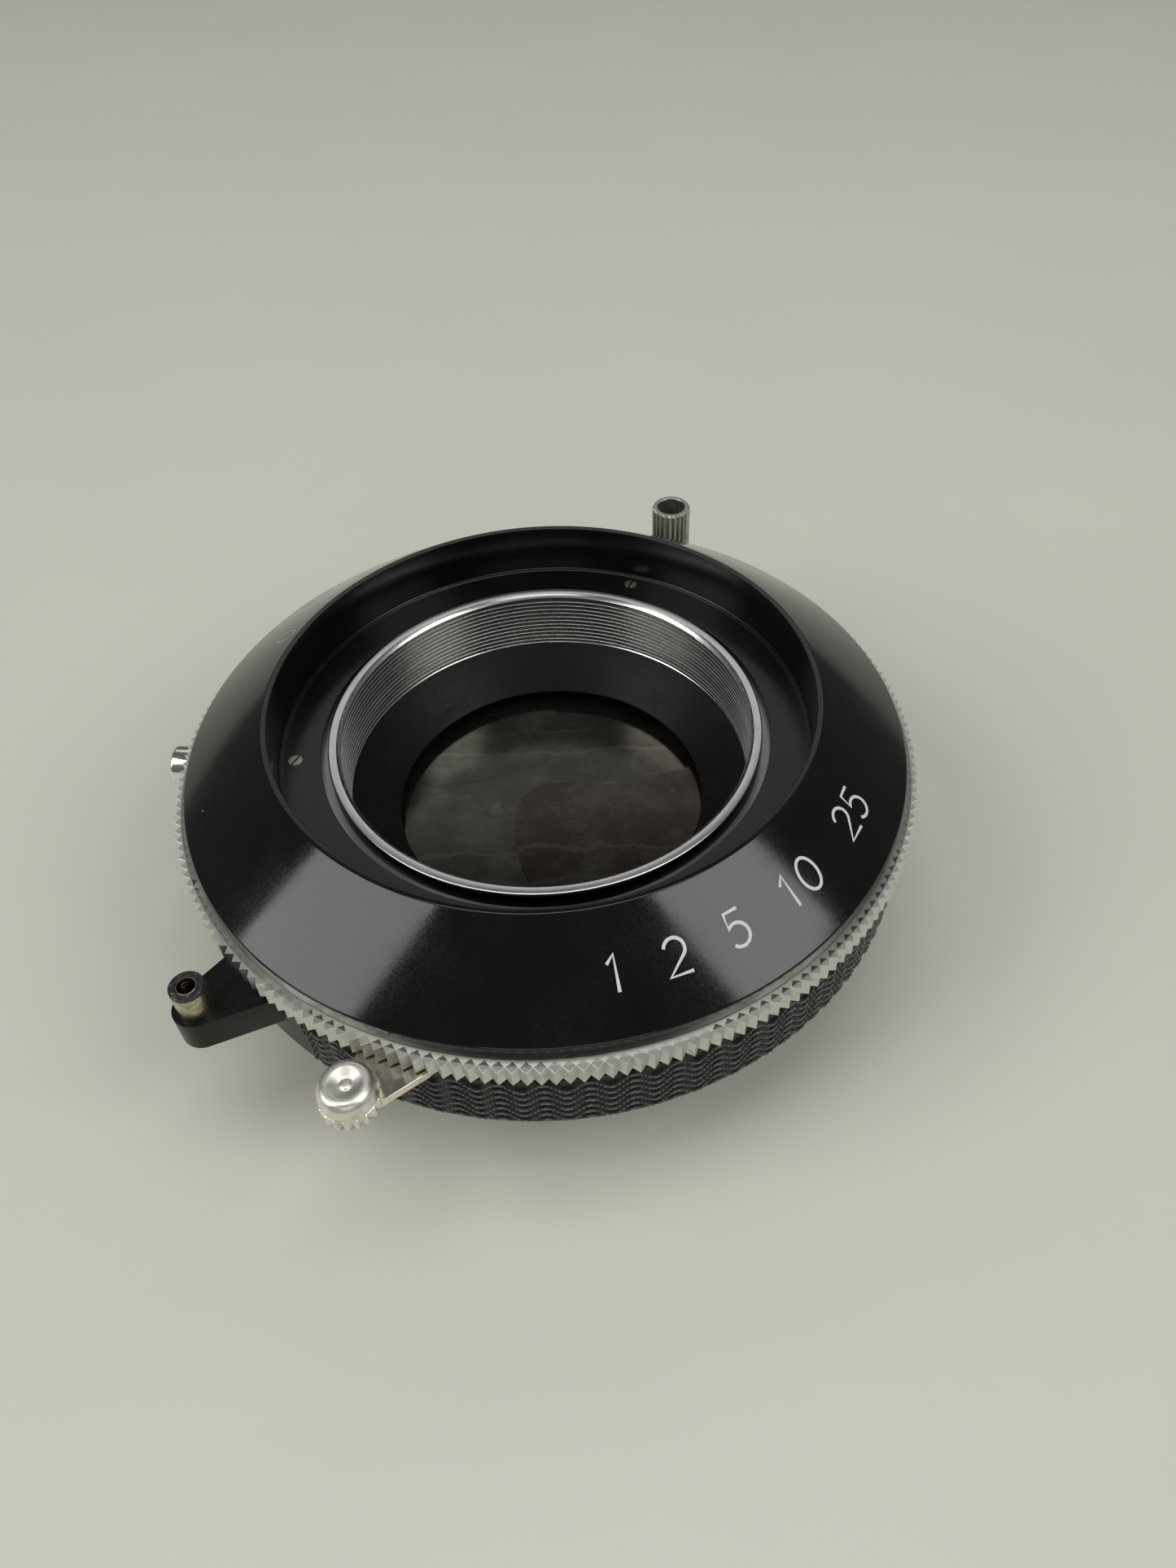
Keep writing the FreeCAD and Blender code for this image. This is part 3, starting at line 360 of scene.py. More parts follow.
class Tree(Nodes):
    """A Geometry Nodes tree that makes or changes one piece."""

    def __init__(self, name: str) -> None:
        """Start a tree with one geometry in and one out."""
        super().__init__(bpy.data.node_groups.new(name, "GeometryNodeTree"))
        face = self.tree.interface
        face.new_socket("Geometry", in_out="INPUT", socket_type="NodeSocketGeometry")
        face.new_socket("Geometry", in_out="OUTPUT", socket_type="NodeSocketGeometry")
        self.entry = self.tree.nodes.new("NodeGroupInput")
        self.exit = self.tree.nodes.new("NodeGroupOutput")
        self.values: dict[str, object] = {}

    def size(self, name: str, value: object, kind: str = "NodeSocketFloat") -> bpy.types.NodeSocket:
        """Add a named input.

        Args:
            name: name of the input.
            value: its value.
            kind: Blender's name of its type.
        Returns:
            The socket that it comes out of.
        """
        socket = self.tree.interface.new_socket(name, in_out="INPUT", socket_type=kind)
        socket.default_value = value
        self.values[socket.identifier] = value
        return self.entry.outputs[name]

    def grow(self, name: str, geometry: bpy.types.NodeSocket, material: bpy.types.Material,
             start: bpy.types.Object | None = None, crease: float = CREASE) -> bpy.types.Object:
        """Realise the tree as a plain mesh piece.

        Args:
            name: name of the piece.
            geometry: what the tree makes.
            material: finish of what it makes.
            start: piece that the tree works on, if it needs one.
            crease: edges sharper than this stay sharp.
        Returns:
            The piece.
        """
        real = self.add("GeometryNodeRealizeInstances", {"Geometry": geometry})
        dressed = self.add("GeometryNodeSetMaterial", {"Geometry": real.outputs[0], "Material": material})
        self.tree.links.new(dressed.outputs[0], self.exit.inputs["Geometry"])
        piece = start
        if piece is None:
            piece = bpy.data.objects.new(name, bpy.data.meshes.new(name))
            bpy.context.scene.collection.objects.link(piece)
        piece.name = name
        modifier = piece.modifiers.new("shape", "NODES")
        modifier.node_group = self.tree
        for identifier, value in self.values.items():
            modifier[identifier] = value
        bake(piece)
        shade(piece, crease)
        return piece


# ---- finishes ----------------------------------------------------------------------------
class Shader(Nodes):
    """Nodes of one material, in front of its Principled shader."""

    def __init__(self, name: str) -> None:
        """Start a material that reads Object coordinates."""
        self.material = bpy.data.materials.new(name)
        self.material.use_nodes = True
        super().__init__(self.material.node_tree)
        self.body = self.tree.nodes["Principled BSDF"]
        self.place = self.tree.nodes.new("ShaderNodeTexCoord").outputs["Object"]

    def noise(self, grain: float, detail: float = 4.0, place: object = None,
              rough: float = 0.55) -> bpy.types.NodeSocket:
        """Noise from 0 to 1 whose features are about `grain` millimetres across."""
        inputs = {"Vector": place or self.place, "Scale": 1.0 / (grain * MM), "Detail": detail,
                  "Roughness": rough}
        return self.add("ShaderNodeTexNoise", inputs).outputs["Fac"]

    def level(self, value: object, low: float, high: float, to_low: float = 0.0,
              to_high: float = 1.0) -> bpy.types.NodeSocket:
        """A value stretched from one range to another, and held there."""
        inputs = {"Value": value, "From Min": low, "From Max": high, "To Min": to_low, "To Max": to_high}
        return self.add("ShaderNodeMapRange", inputs).outputs[0]

    def blend(self, share: object, first: object, second: object) -> bpy.types.NodeSocket:
        """Colour between two others.

        Args:
            share: 0 for the first colour, 1 for the second.
            first: a colour or a socket.
            second: a colour or a socket.
        Returns:
            The mixed colour.
        """
        node = self.add("ShaderNodeMix", {"Factor": share}, data_type="RGBA")
        for key, value in ((6, first), (7, second)):
            self.feed(node.inputs[key], (*value, 1.0) if isinstance(value, tuple) else value)
        return node.outputs[2]

    def about(self, centre: tuple[float, float]) -> tuple[object, object, object]:
        """Place of a point about an upright axis.

        Args:
            centre: plan place of the axis.
        Returns:
            Radius and height, in metres, and turn, in radians.
        """
        x, y, height = self.split(self.place)
        x, y = self.minus(x, centre[0] * MM), self.minus(y, centre[1] * MM)
        return self.length(x, y), height, self.math("ARCTAN2", y, x)

    def specks(self, spacing: float, size: float, share: float) -> bpy.types.NodeSocket:
        """1 on small scattered dots and 0 elsewhere.

        Args:
            spacing: millimetres from dot to dot.
            size: radius of the largest dots.
            share: how many of the places have a dot.
        Returns:
            The mask.
        """
        dots = self.add("ShaderNodeTexVoronoi", {"Vector": self.place, "Scale": 1.0 / (spacing * MM)})
        tint = self.add("ShaderNodeSeparateColor", {0: dots.outputs["Color"]})
        reach = self.times(tint.outputs[0], size / spacing)
        near = self.math("LESS_THAN", dots.outputs["Distance"], reach)
        return self.times(near, self.math("GREATER_THAN", tint.outputs[1], 1.0 - share))

    def use(self, name: str, value: object) -> None:
        """Give one of the shader's own inputs a socket, a colour or a number."""
        self.feed(self.body.inputs[name], (*value, 1.0) if isinstance(value, tuple) else value)

    def relief(self, height: object, depth: float, strength: float = 1.0) -> None:
        """Bump the surface by a height map of the given depth in millimetres."""
        bump = self.add("ShaderNodeBump", {"Height": height, "Distance": depth * MM, "Strength": strength})
        self.use("Normal", bump.outputs[0])


@dataclass(frozen=True)
class Finish:
    """A finish; each kind of finish adds its own nodes in `dress`."""

    name: str
    colour: tuple[float, float, float]
    rough: float
    metallic: float = 0.0

    def dress(self, shader: Shader) -> None:
        """Add this finish's own nodes.

        Args:
            shader: nodes of the material that takes this finish.
        """
        shader.use("Base Color", self.colour)

    def material(self) -> bpy.types.Material:
        """The finish as a material, made once.

        Returns:
            The material.
        """
        made = bpy.data.materials.get(self.name)
        if made is not None:
            return made
        shader = Shader(self.name)
        shader.use("Metallic", self.metallic)
        self.dress(shader)
        return shader.material


@dataclass(frozen=True)
class Enamel(Finish):
    """Glossy or satin black lacquer with haze, fine pits and dust."""

    haze: float = 0.12
    dust: float = 0.35
    pits: float = 0.004
    matt_within: float = 0.0
    shine: float = 0.5

    def dress(self, shader: Shader) -> None:
        """Clouded gloss, dust specks and a faint orange peel.

        Args:
            shader: nodes of the material that takes this finish.
        """
        cloud = shader.noise(9.0, 5.0)
        fine = shader.noise(0.35, 3.0)
        speck = shader.specks(4.5, 0.16, self.dust)
        hair = shader.specks(1.6, 0.05, self.dust * 0.6)
        dusty = shader.math("MAXIMUM", speck, hair)
        bloom = shader.times(shader.level(cloud, 0.40, 0.70), shader.level(fine, 0.35, 0.65))
        base = shader.blend(bloom, self.colour, tuple(c * 1.6 + 0.0025 for c in self.colour))
        shader.use("Base Color", shader.blend(dusty, base, DUST))
        gloss = shader.level(cloud, 0.3, 0.7, self.rough - self.haze / 2, self.rough + self.haze / 2)
        gloss = shader.plus(gloss, shader.level(fine, 0.3, 0.7, -0.03, 0.03))
        inner = shader.math("LESS_THAN", shader.about((0.0, 0.0))[0], self.matt_within * MM)
        gloss = shader.plus(gloss, shader.times(inner, 0.12))
        shader.use("Roughness", shader.plus(gloss, shader.times(dusty, 0.5)))
        shader.relief(shader.plus(fine, shader.times(dusty, 4.0)), self.pits)
        shader.use("Specular IOR Level", self.shine)


@dataclass(frozen=True)
class Turned(Finish):
    """Metal or lacquer cut on a lathe, with marks that run round its axis."""

    marks: float = 0.09
    depth: float = 0.004
    stain: tuple[float, float, float] = (0.30, 0.27, 0.20)
    stained: float = 0.25
    centre: tuple[float, float] = (0.0, 0.0)
    dust: float = 0.1
    shine: float = 0.5
    # the outer wall beyond this radius and below this height gets painted shade; zero leaves it out
    shade_beyond: float = 0.0
    shade_below: float = 0.0

    def dress(self, shader: Shader) -> None:
        """Fine rings, tarnish, dust and, where asked, painted shade on the outer wall.

        Args:
            shader: nodes of the material that takes this finish.
        """
        radius, height, turn = shader.about(self.centre)
        along = shader.vector(radius, height, shader.times(turn, 0.0006))
        rings = shader.noise(self.marks, 3.0, along, 0.7)
        cloud = shader.noise(5.0, 6.0, rough=0.65)
        blot = shader.times(shader.level(cloud, 0.52, 0.75), self.stained)
        speck = shader.specks(3.0, 0.1, self.dust)
        tone = shader.blend(shader.level(rings, 0.3, 0.7), tuple(c * 0.86 for c in self.colour), self.colour)
        tone = shader.blend(blot, tone, self.stain)
        # painted shade: the outer wall beyond a radius and below a height turns near-black to stand for
        # shadow
        if self.shade_beyond > 0:
            outside = shader.math("GREATER_THAN", radius, self.shade_beyond * MM)
            black = shader.times(outside, shader.math("LESS_THAN", height, self.shade_below * MM))
            tone = shader.blend(black, tone, SHADE_BLACK)
        shader.use("Base Color", shader.blend(speck, tone, tuple(c * 0.35 for c in self.stain)))
        gloss = shader.level(rings, 0.25, 0.75, self.rough * 0.75, self.rough * 1.3)
        shader.use("Roughness", shader.plus(gloss, shader.times(blot, 0.5)))
        shader.use("Specular IOR Level", self.shine)
        shader.relief(rings, self.depth)


@dataclass(frozen=True)
class Plated(Finish):
    """Polished plating with smudges, small pits and patches of grime."""

    smudge: float = 0.12
    grime: tuple[float, float, float] = (0.16, 0.13, 0.09)
    grimy: float = 0.25
    scratch: float = 0.002

    def dress(self, shader: Shader) -> None:
        """Smudges, pits and hair scratches.

        Args:
            shader: nodes of the material that takes this finish.
        """
        cloud = shader.noise(1.6, 5.0)
        fine = shader.noise(0.12, 3.0)
        stretched = shader.add("ShaderNodeMapping", {"Vector": shader.place, "Scale": (1.0, 9.0, 5.0),
                                                     "Rotation": (0.3, 0.2, 0.7)}).outputs[0]
        hairs = shader.noise(0.5, 2.0, stretched)
        dirt = shader.times(shader.level(cloud, 0.55, 0.72), self.grimy)
        dirt = shader.math("MAXIMUM", dirt, shader.times(shader.specks(0.9, 0.05, 0.35), 0.7))
        shader.use("Base Color", shader.blend(dirt, self.colour, self.grime))
        gloss = shader.level(cloud, 0.3, 0.7, self.rough, self.rough + self.smudge)
        shader.use("Roughness", shader.plus(gloss, shader.times(dirt, 0.3)))
        shader.relief(shader.plus(fine, shader.times(hairs, 0.6)), self.scratch)


@dataclass(frozen=True)
class Worn(Finish):
    """Plating or lacquer that is worn through to what lies under it."""

    under: tuple[float, float, float] = (0.45, 0.40, 0.22)
    worn: float = 0.5
    patch: float = 0.8
    under_metal: float = 1.0
    centre: tuple[float, float] = (0.0, 0.0)
    shade_within: float = 0.0

    def dress(self, shader: Shader) -> None:
        """Patches of the under colour, with rougher edges, and painted shade inside a bore.

        Args:
            shader: nodes of the material that takes this finish.
        """
        cloud = shader.noise(self.patch, 6.0, rough=0.68)
        fine = shader.noise(0.1, 3.0)
        edge = 1.0 - self.worn
        bare = shader.level(cloud, edge - 0.08, edge + 0.08)
        tone = shader.blend(bare, self.colour, self.under)
        # painted shade: points within a radius of the axis, inside the bore, turn dark to stand for shade
        in_bore_shade = shader.math("LESS_THAN", shader.about(self.centre)[0], self.shade_within * MM)
        shader.use("Base Color", shader.blend(in_bore_shade, tone, BORE_SHADE))
        shader.use("Metallic", shader.level(bare, 0.0, 1.0, self.metallic, self.under_metal))
        shader.use("Roughness", shader.level(fine, 0.3, 0.7, self.rough * 0.8, self.rough * 1.25))
        shader.relief(shader.plus(shader.times(bare, -0.7), fine), 0.008)


@dataclass(frozen=True)
class Crested(Finish):
    """Black lacquer on a relief whose crests are paler, partly from wear by handling and partly as a painted
    highlight.
    """

    # pale crest colour: partly wear, partly a painted highlight
    crest: tuple[float, float, float] = (0.30, 0.29, 0.28)
    low: float = 50.80
    high: float = 51.08

    def dress(self, shader: Shader) -> None:
        """Paler crests, found by their distance from the optical axis.

        Args:
            shader: nodes of the material that takes this finish.
        """
        radius, _, _ = shader.about((0.0, 0.0))
        fine = shader.noise(0.25, 4.0)
        # crests paler by radius: partly wear from handling, partly a painted highlight on the rounded tops
        top = shader.level(radius, self.low * MM, self.high * MM)
        wear_and_highlight = shader.times(top, shader.level(fine, 0.25, 0.6, 0.45, 1.0))
        shader.use("Base Color", shader.blend(wear_and_highlight, self.colour, self.crest))
        shader.use("Roughness", shader.level(fine, 0.3, 0.7, self.rough * 0.8, self.rough * 1.2))
        shader.use("Specular IOR Level", 0.3)
        shader.relief(fine, 0.006)


@dataclass(frozen=True)
class Leaf(Finish):
    """Blackened spring steel with long scratches and burnished patches."""

    heading: float = 0.0
    burnish: tuple[float, float, float] = (0.19, 0.18, 0.15)

    def dress(self, shader: Shader) -> None:
        """Scratches that run along the leaf, and cloudy burnishing.

        Args:
            shader: nodes of the material that takes this finish.
        """
        along = shader.add("ShaderNodeMapping", {"Vector": shader.place, "Scale": (0.35, 9.0, 1.0),
                                                 "Rotation": (0.0, 0.0, radians(self.heading))}).outputs[0]
        lines = shader.noise(1.4, 5.0, along, 0.7)
        cloud = shader.noise(6.0, 6.0, rough=0.7)
        arcs = shader.add("ShaderNodeTexWave", {"Vector": shader.place, "Scale": 95.0, "Distortion": 3.0,
                                                "Detail": 3.0, "Detail Scale": 1.5}, wave_type="RINGS")
        rub = shader.times(shader.level(lines, 0.57, 0.72), shader.level(cloud, 0.42, 0.62))
        worn = shader.level(cloud, 0.45, 0.72, 0.0, 0.3)
        streak = shader.times(shader.level(arcs.outputs["Fac"], 0.94, 1.0), 0.25)
        rub = shader.math("MAXIMUM", shader.math("MAXIMUM", rub, worn), streak)
        shader.use("Base Color", shader.blend(rub, self.colour, self.burnish))
        shader.use("Roughness", shader.level(cloud, 0.3, 0.7, self.rough * 0.8, self.rough * 1.3))
        shader.relief(lines, 0.0015)


@dataclass(frozen=True)
class Moulded(Finish):
    """Plain matt material with a fine grain."""

    grain: float = 0.3

    def dress(self, shader: Shader) -> None:
        """Grain in colour, gloss and surface.

        Args:
            shader: nodes of the material that takes this finish.
        """
        fine = shader.noise(self.grain, 4.0)
        darker = tuple(c * 0.75 for c in self.colour)
        shader.use("Base Color", shader.blend(shader.level(fine, 0.3, 0.7), darker, self.colour))
        shader.use("Roughness", shader.level(fine, 0.3, 0.7, self.rough * 0.85, self.rough * 1.1))
        shader.relief(fine, 0.01)


GLOSS_BLACK = Enamel("gloss_black_enamel", (0.003, 0.003, 0.0032), 0.11, haze=0.07, pits=0.0025,
                     matt_within=37.4)
SATIN_BLACK = Enamel("satin_black_enamel", (0.0045, 0.004, 0.004), 0.30, haze=0.08, dust=0.55, pits=0.01,
                     shine=0.2)
CASE_BLACK = Enamel("case_black_enamel", (0.006, 0.006, 0.006), 0.36, haze=0.1, dust=0.2, pits=0.01,
                    shine=0.3)
# crests paler: partly wear, partly a painted highlight
WAVE_BLACK = Crested("wave_black_enamel", (0.006, 0.006, 0.006), 0.3)
BAFFLE_BLACK = Turned("baffle_black_anodising", (0.004, 0.004, 0.0045), 0.45, 0.0, 0.12, 0.003,
                      (0.01, 0.009, 0.008), 0.5, dust=0.05, shine=0.18)
BRIGHT_STEEL = Turned("turned_bright_steel", (0.74, 0.74, 0.72), 0.24, 1.0, 0.11, 0.0012, stained=0.12)
# its outer wall, beyond 30.2 mm and below 31.7 mm, carries painted shade
TUBE_STEEL = Turned("front_tube_steel", (0.78, 0.78, 0.75), 0.24, 1.0, 0.4, 0.0006, stained=0.1,
                    shade_beyond=30.2, shade_below=31.7)
RING_STEEL = Turned("knurled_ring_steel", (0.60, 0.60, 0.53), 0.32, 1.0, 0.07, 0.0015,
                    (0.36, 0.34, 0.24), 0.4)
TOOTH_STEEL = Plated("tooth_steel", (0.68, 0.68, 0.64), 0.32, 1.0, 0.1, grimy=0.3, scratch=0.0015)
DULL_STEEL = Turned("dull_steel", (0.42, 0.42, 0.40), 0.38, 1.0, 0.15, 0.006)
CHROME = Plated("polished_chrome", (0.86, 0.86, 0.84), 0.06, 1.0)
LEVER_CHROME = Plated("lever_chrome", (0.82, 0.76, 0.63), 0.09, 1.0, 0.08, grimy=0.3)
KNOB_CHROME = Plated("knob_chrome", (0.84, 0.81, 0.74), 0.30, 1.0, 0.12, grimy=0.35, scratch=0.003)
POST_STEEL = Plated("post_steel", (0.50, 0.50, 0.46), 0.3, 1.0, 0.15, grimy=0.5, scratch=0.006)
# the bore of the sleeve carries painted shade
SLEEVE_NICKEL = Worn("worn_sleeve_nickel", (0.50, 0.47, 0.34), 0.3, 1.0, (0.33, 0.29, 0.15), 0.45, 0.9,
                     centre=centre_of("release_socket"), shade_within=1.15)
CAP_BLACK = Worn("worn_cap_lacquer", (0.015, 0.015, 0.017), 0.35, 0.0, (0.5, 0.48, 0.42), 0.36, 0.45)
SCREW_STEEL = Plated("screw_steel", (0.62, 0.58, 0.46), 0.28, 1.0, 0.1, grimy=0.5, scratch=0.005)
NUMBER_PAINT = Moulded("number_paint", (0.82, 0.81, 0.76), 0.6, grain=0.15)
FAINT_PAINT = Moulded("faint_number_paint", (0.6, 0.59, 0.55), 0.6, grain=0.15)
BRASS = Turned("machined_brass", (0.66, 0.49, 0.22), 0.28, 1.0, stained=0.35, stain=(0.28, 0.18, 0.07))
BLUED_STEEL = Plated("blued_spring_steel", (0.10, 0.13, 0.22), 0.25, 1.0)
INSULATOR = Moulded("brown_insulator", (0.05, 0.03, 0.02), 0.5)


# ---- front cover -------------------------------------------------------------------------
class Tops(Enum):
    """Which way the tops of the digits on the cone point."""

    INWARD = "towards the optical axis"
    OUTWARD = "away from the optical axis"


def arc(x: float, y: float, rx: float, ry: float, start: float, end: float, steps: int = 18) -> Loop:
    """Points on part of an ellipse."""
    return [(x + rx * cos(radians(a)), y + ry * sin(radians(a))) for a in np.linspace(start, end, steps)]


DIGITS: dict[str, list[Loop]] = {
    "0": [arc(0.33, 0.5, 0.33, 0.5, 90, 450, 30)],
    "1": [[(0.12, 0.76), (0.34, 1.0), (0.34, 0.0)]],
    "2": [arc(0.32, 0.70, 0.30, 0.30, 165, -38) + [(0.0, 0.0), (0.64, 0.0)]],
    "4": [[(0.46, 0.0), (0.46, 1.0), (0.0, 0.30), (0.68, 0.30)]],
    "5": [[(0.58, 1.0), (0.12, 1.0), (0.08, 0.56)] + arc(0.30, 0.33, 0.32, 0.33, 128, -140)],
    "8": [arc(0.33, 0.75, 0.25, 0.25, -90, 270, 24), arc(0.33, 0.25, 0.31, 0.25, 90, 450, 24)],
}


@dataclass
class FrontCover:
    """Black cone with its rim, sunk floor, numbers and screws."""

    recess_r: float = 37.2
    rim_r: float = 38.0
    wall: float = 1.3
    floor_in_r: float = 31.53
    floor_below_rim: float = 7.8
    lip_h: float = 2.0
    screw_radius: float = 34.95
    screw_first: float = 68.0
    screw_head_r: float = 0.95
    screw_thick: float = 1.0
    screw_slot: float = 0.3
    screw_proud: float = 0.06
    segments: int = 320
    number_h: float = 4.3
    stroke_w: float = 0.42
    number_top: float = 5.5
    front_row: Groups = (("1", -78.5), ("2", -69.0), ("5", -58.5), ("10", -45.0), ("25", -27.5))
    scribed_h: float = 3.8
    scribed_w: float = 0.16
    scribed_top: float = 2.0
    back_row: Groups = (("8", 108.0), ("4", 121.0), ("2", 134.0), ("1", 146.0), ("0", 158.0))

    def __post_init__(self) -> None:
        """Take the heights and the outer radius from the frame."""
        low, high = extent("front_cover")
        self.z_lip, self.z_rim, self.cone_r = low.z, high.z, high.x
        self.z_cone, self.z_floor = self.z_lip + self.lip_h, self.z_rim - self.floor_below_rim

    def shell(self) -> bpy.types.Object:
        """The cover itself, turned from one cross-section.

        Returns:
            The piece.
        """
        rise, run = self.z_rim - self.z_cone, self.cone_r - self.rim_r
        inset = self.wall * hypot(rise, run) / run
        wall_r, lip_in = self.recess_r + self.wall, self.cone_r - self.wall
        under = self.z_rim - inset - (wall_r - self.rim_r) * rise / run
        loop = soften([(self.recess_r, self.z_rim, 0.1), (self.rim_r, self.z_rim, 0.14),
                       (self.cone_r, self.z_cone, 0.22), (self.cone_r, self.z_lip, 0.1),
                       (lip_in, self.z_lip, 0.1),
                       (lip_in, self.z_cone - inset + self.wall * rise / run, 0.3), (wall_r, under, 0.2),
                       (wall_r, self.z_floor - self.wall, 0.05),
                       (self.floor_in_r, self.z_floor - self.wall, 0.05),
                       (self.floor_in_r, self.z_floor, 0.12), (self.recess_r - 0.55, self.z_floor, 0.05),
                       (self.recess_r - 0.4, self.z_floor + 0.12, 0.05),
                       (self.recess_r - 0.12, self.z_floor + 0.12, 0.05),
                       (self.recess_r, self.z_floor + 0.3, 0.08)], steps=4)
        return revolve("front_cone", loop, self.segments)

    def screws(self) -> bpy.types.Object:
        """The three slotted screw heads in the sunk floor."""
        return slotted_screws("cover_screw_heads", 3, self.screw_radius, self.screw_first, self.screw_head_r,
                              self.z_floor + self.screw_proud, self.screw_thick, self.screw_slot)

    def numbers(self, name: str, groups: Groups, height: float, width: float, top: float, tops: Tops,
                finish: Finish) -> bpy.types.Object:
        """Numbers laid on the cone as thin strokes.

        Args:
            name: name of the piece.
            groups: each number and the angle of its middle.
            height: height of a digit.
            width: width of a stroke.
            top: distance from the rim, down the slant, of the edge of the digits nearest the rim.
            tops: which way the digits' tops point.
            finish: what fills the strokes.
        Returns:
            The piece.
        """
        middle_r = self.rim_r + (top + height / 2) * (self.cone_r - self.rim_r) / hypot(
            self.z_rim - self.z_cone, self.cone_r - self.rim_r)
        outward = tops is Tops.OUTWARD
        advance, half_digit = 0.84 * height, 0.33
        points, edges = [], []
        for text, angle in groups:
            shift = -advance * (len(text) - 1) / 2
            for letter in text:
                for line in DIGITS[letter]:
                    first = len(points)
                    for x, y in line:
                        across = (x - half_digit) * height + shift
                        down = y * height if outward else (1 - y) * height
                        side = -across if outward else across
                        points.append((radians(angle) * middle_r + side, top + down, 0.0))
                    edges += [(k, k + 1) for k in range(first, len(points) - 1)]
                shift += advance
        mesh = bpy.data.meshes.new(name)
        mesh.from_pydata((np.array(points) * MM).tolist(), edges, [])
        start = bpy.data.objects.new(name, mesh)
        bpy.context.scene.collection.objects.link(start)
        return self.laid_on_cone(name, start, middle_r, width, finish)

    def laid_on_cone(self, name: str, start: bpy.types.Object, middle_r: float, width: float,
                     finish: Finish) -> bpy.types.Object:
        """Give flat lines a round section, flatten it, and wrap them on the cone with nodes.

        Args:
            name: name of the piece.
            start: the lines, with their length round the cone as x and their way down it as y.
            middle_r: radius of the cone at the middle of the digits.
            width: width of a stroke.
            finish: what fills the strokes.
        Returns:
            The piece.
        """
        slant = hypot(self.z_rim - self.z_cone, self.cone_r - self.rim_r)
        flatten, bed = 0.16, 0.01 * MM
        tree = Tree(name + "_strokes")
        stroke = tree.size("Stroke width", width * MM)
        middle = tree.size("Middle radius", middle_r * MM)
        rim = tree.size("Rim radius", self.rim_r * MM)
        rim_z = tree.size("Rim height", self.z_rim * MM)
        run = tree.size("Run", (self.cone_r - self.rim_r) / slant)
        fall = tree.size("Fall", (self.z_rim - self.z_cone) / slant)
        curve = tree.add("GeometryNodeMeshToCurve", {"Mesh": tree.entry.outputs["Geometry"]})
        half = tree.times(stroke, 0.5)
        ring = tree.add("GeometryNodeCurvePrimitiveCircle", {"Resolution": 10, "Radius": half})
        tube = tree.add("GeometryNodeCurveToMesh", {"Curve": curve.outputs[0],
                                                    "Profile Curve": ring.outputs[0], "Fill Caps": True})
        place = tree.add("GeometryNodeInputPosition")
        across, down, proud = tree.split(place.outputs[0])
        lift = tree.math("MULTIPLY_ADD", proud, flatten, bed)
        turn = tree.math("DIVIDE", across, middle)
        radius = tree.plus(rim, tree.plus(tree.times(down, run), tree.times(lift, fall)))
        height = tree.plus(tree.minus(rim_z, tree.times(down, fall)), tree.times(lift, run))
        target = tree.vector(tree.times(radius, tree.math("COSINE", turn)),
                             tree.times(radius, tree.math("SINE", turn)), height)
        moved = tree.add("GeometryNodeSetPosition", {"Geometry": tube.outputs[0], "Position": target})
        piece = tree.grow(name, moved.outputs[0], finish.material(), start, STROKE_CREASE)
        heal(piece)
        return piece

    def build(self) -> None:
        """Make, dress and mount the cover's pieces."""
        give(self.shell(), GLOSS_BLACK, "case", "black_enamel", "front_cover")
        dress("bearing_collar", DULL_STEEL)
        give(self.screws(), SCREW_STEEL, "case", "bright_steel", "cover_screws")
        engraved = self.numbers("engraved_numbers", self.front_row, self.number_h, self.stroke_w,
                                self.number_top, Tops.INWARD, NUMBER_PAINT)
        give(engraved, NUMBER_PAINT, "case")
        scribed = self.numbers("scribed_numbers", self.back_row, self.scribed_h, self.scribed_w,
                               self.scribed_top, Tops.OUTWARD, FAINT_PAINT)
        give(scribed, FAINT_PAINT, "case")


def slotted_screws(name: str, count: int, radius: float, first: float, head_r: float, top: float,
                   thickness: float, slot: float) -> bpy.types.Object:
    """Slotted screw heads at equal angles about the optical axis.

    Args:
        name: name of the piece.
        count: number of screws.
        radius: distance of their centres from the axis.
        first: angle of the first one.
        head_r: radius of a head.
        top: height of the slotted face; the head lies below it, or above it for a negative thickness.
        thickness: thickness of a head.
        slot: width of the slot.
    Returns:
        The screws as one piece.
    """
    tree = Tree(name + "_tree")
    number = tree.size("Count", count, "NodeSocketInt")
    size = tree.size("Head radius", head_r * MM)
    slot_w = tree.size("Slot width", slot * MM)
    middle = tree.size("Radius", radius * MM)
    face = tree.size("Face height", top * MM)
    thick = tree.size("Thickness", abs(thickness) * MM)
    start = tree.size("First angle", radians(first))
    side = 1.0 if thickness > 0 else -1.0
    disc = tree.add("GeometryNodeMeshCylinder", {"Vertices": 40, "Radius": size, "Depth": thick})
    down = tree.vector(z=tree.times(thick, -0.5 * side))
    disc = tree.add("GeometryNodeTransform", {"Geometry": disc.outputs[0], "Translation": down})
    groove = tree.vector(tree.times(size, 3.0), slot_w, tree.times(slot_w, 2.0))
    bar = tree.add("GeometryNodeMeshCube", {"Size": groove})
    cut = tree.add("GeometryNodeMeshBoolean", {"Mesh 1": disc.outputs[0], "Mesh 2": bar.outputs[0]},
                   operation="DIFFERENCE")
    ring = tree.add("GeometryNodeMeshCircle", {"Vertices": number, "Radius": middle})
    ring = tree.add("GeometryNodeTransform", {"Geometry": ring.outputs[0], "Rotation": tree.vector(z=start),
                                              "Translation": tree.vector(z=face)})
    chance = tree.add("FunctionNodeRandomValue", {"Min": (0.0, 0.0, 0.0), "Max": (0.0, 0.0, pi), "Seed": 11},
                      data_type="FLOAT_VECTOR")
    heads = tree.add("GeometryNodeInstanceOnPoints", {"Points": ring.outputs[0], "Instance": cut.outputs[0],
                                                      "Rotation": chance.outputs[0]})
    return tree.grow(name, heads.outputs[0], SCREW_STEEL.material())


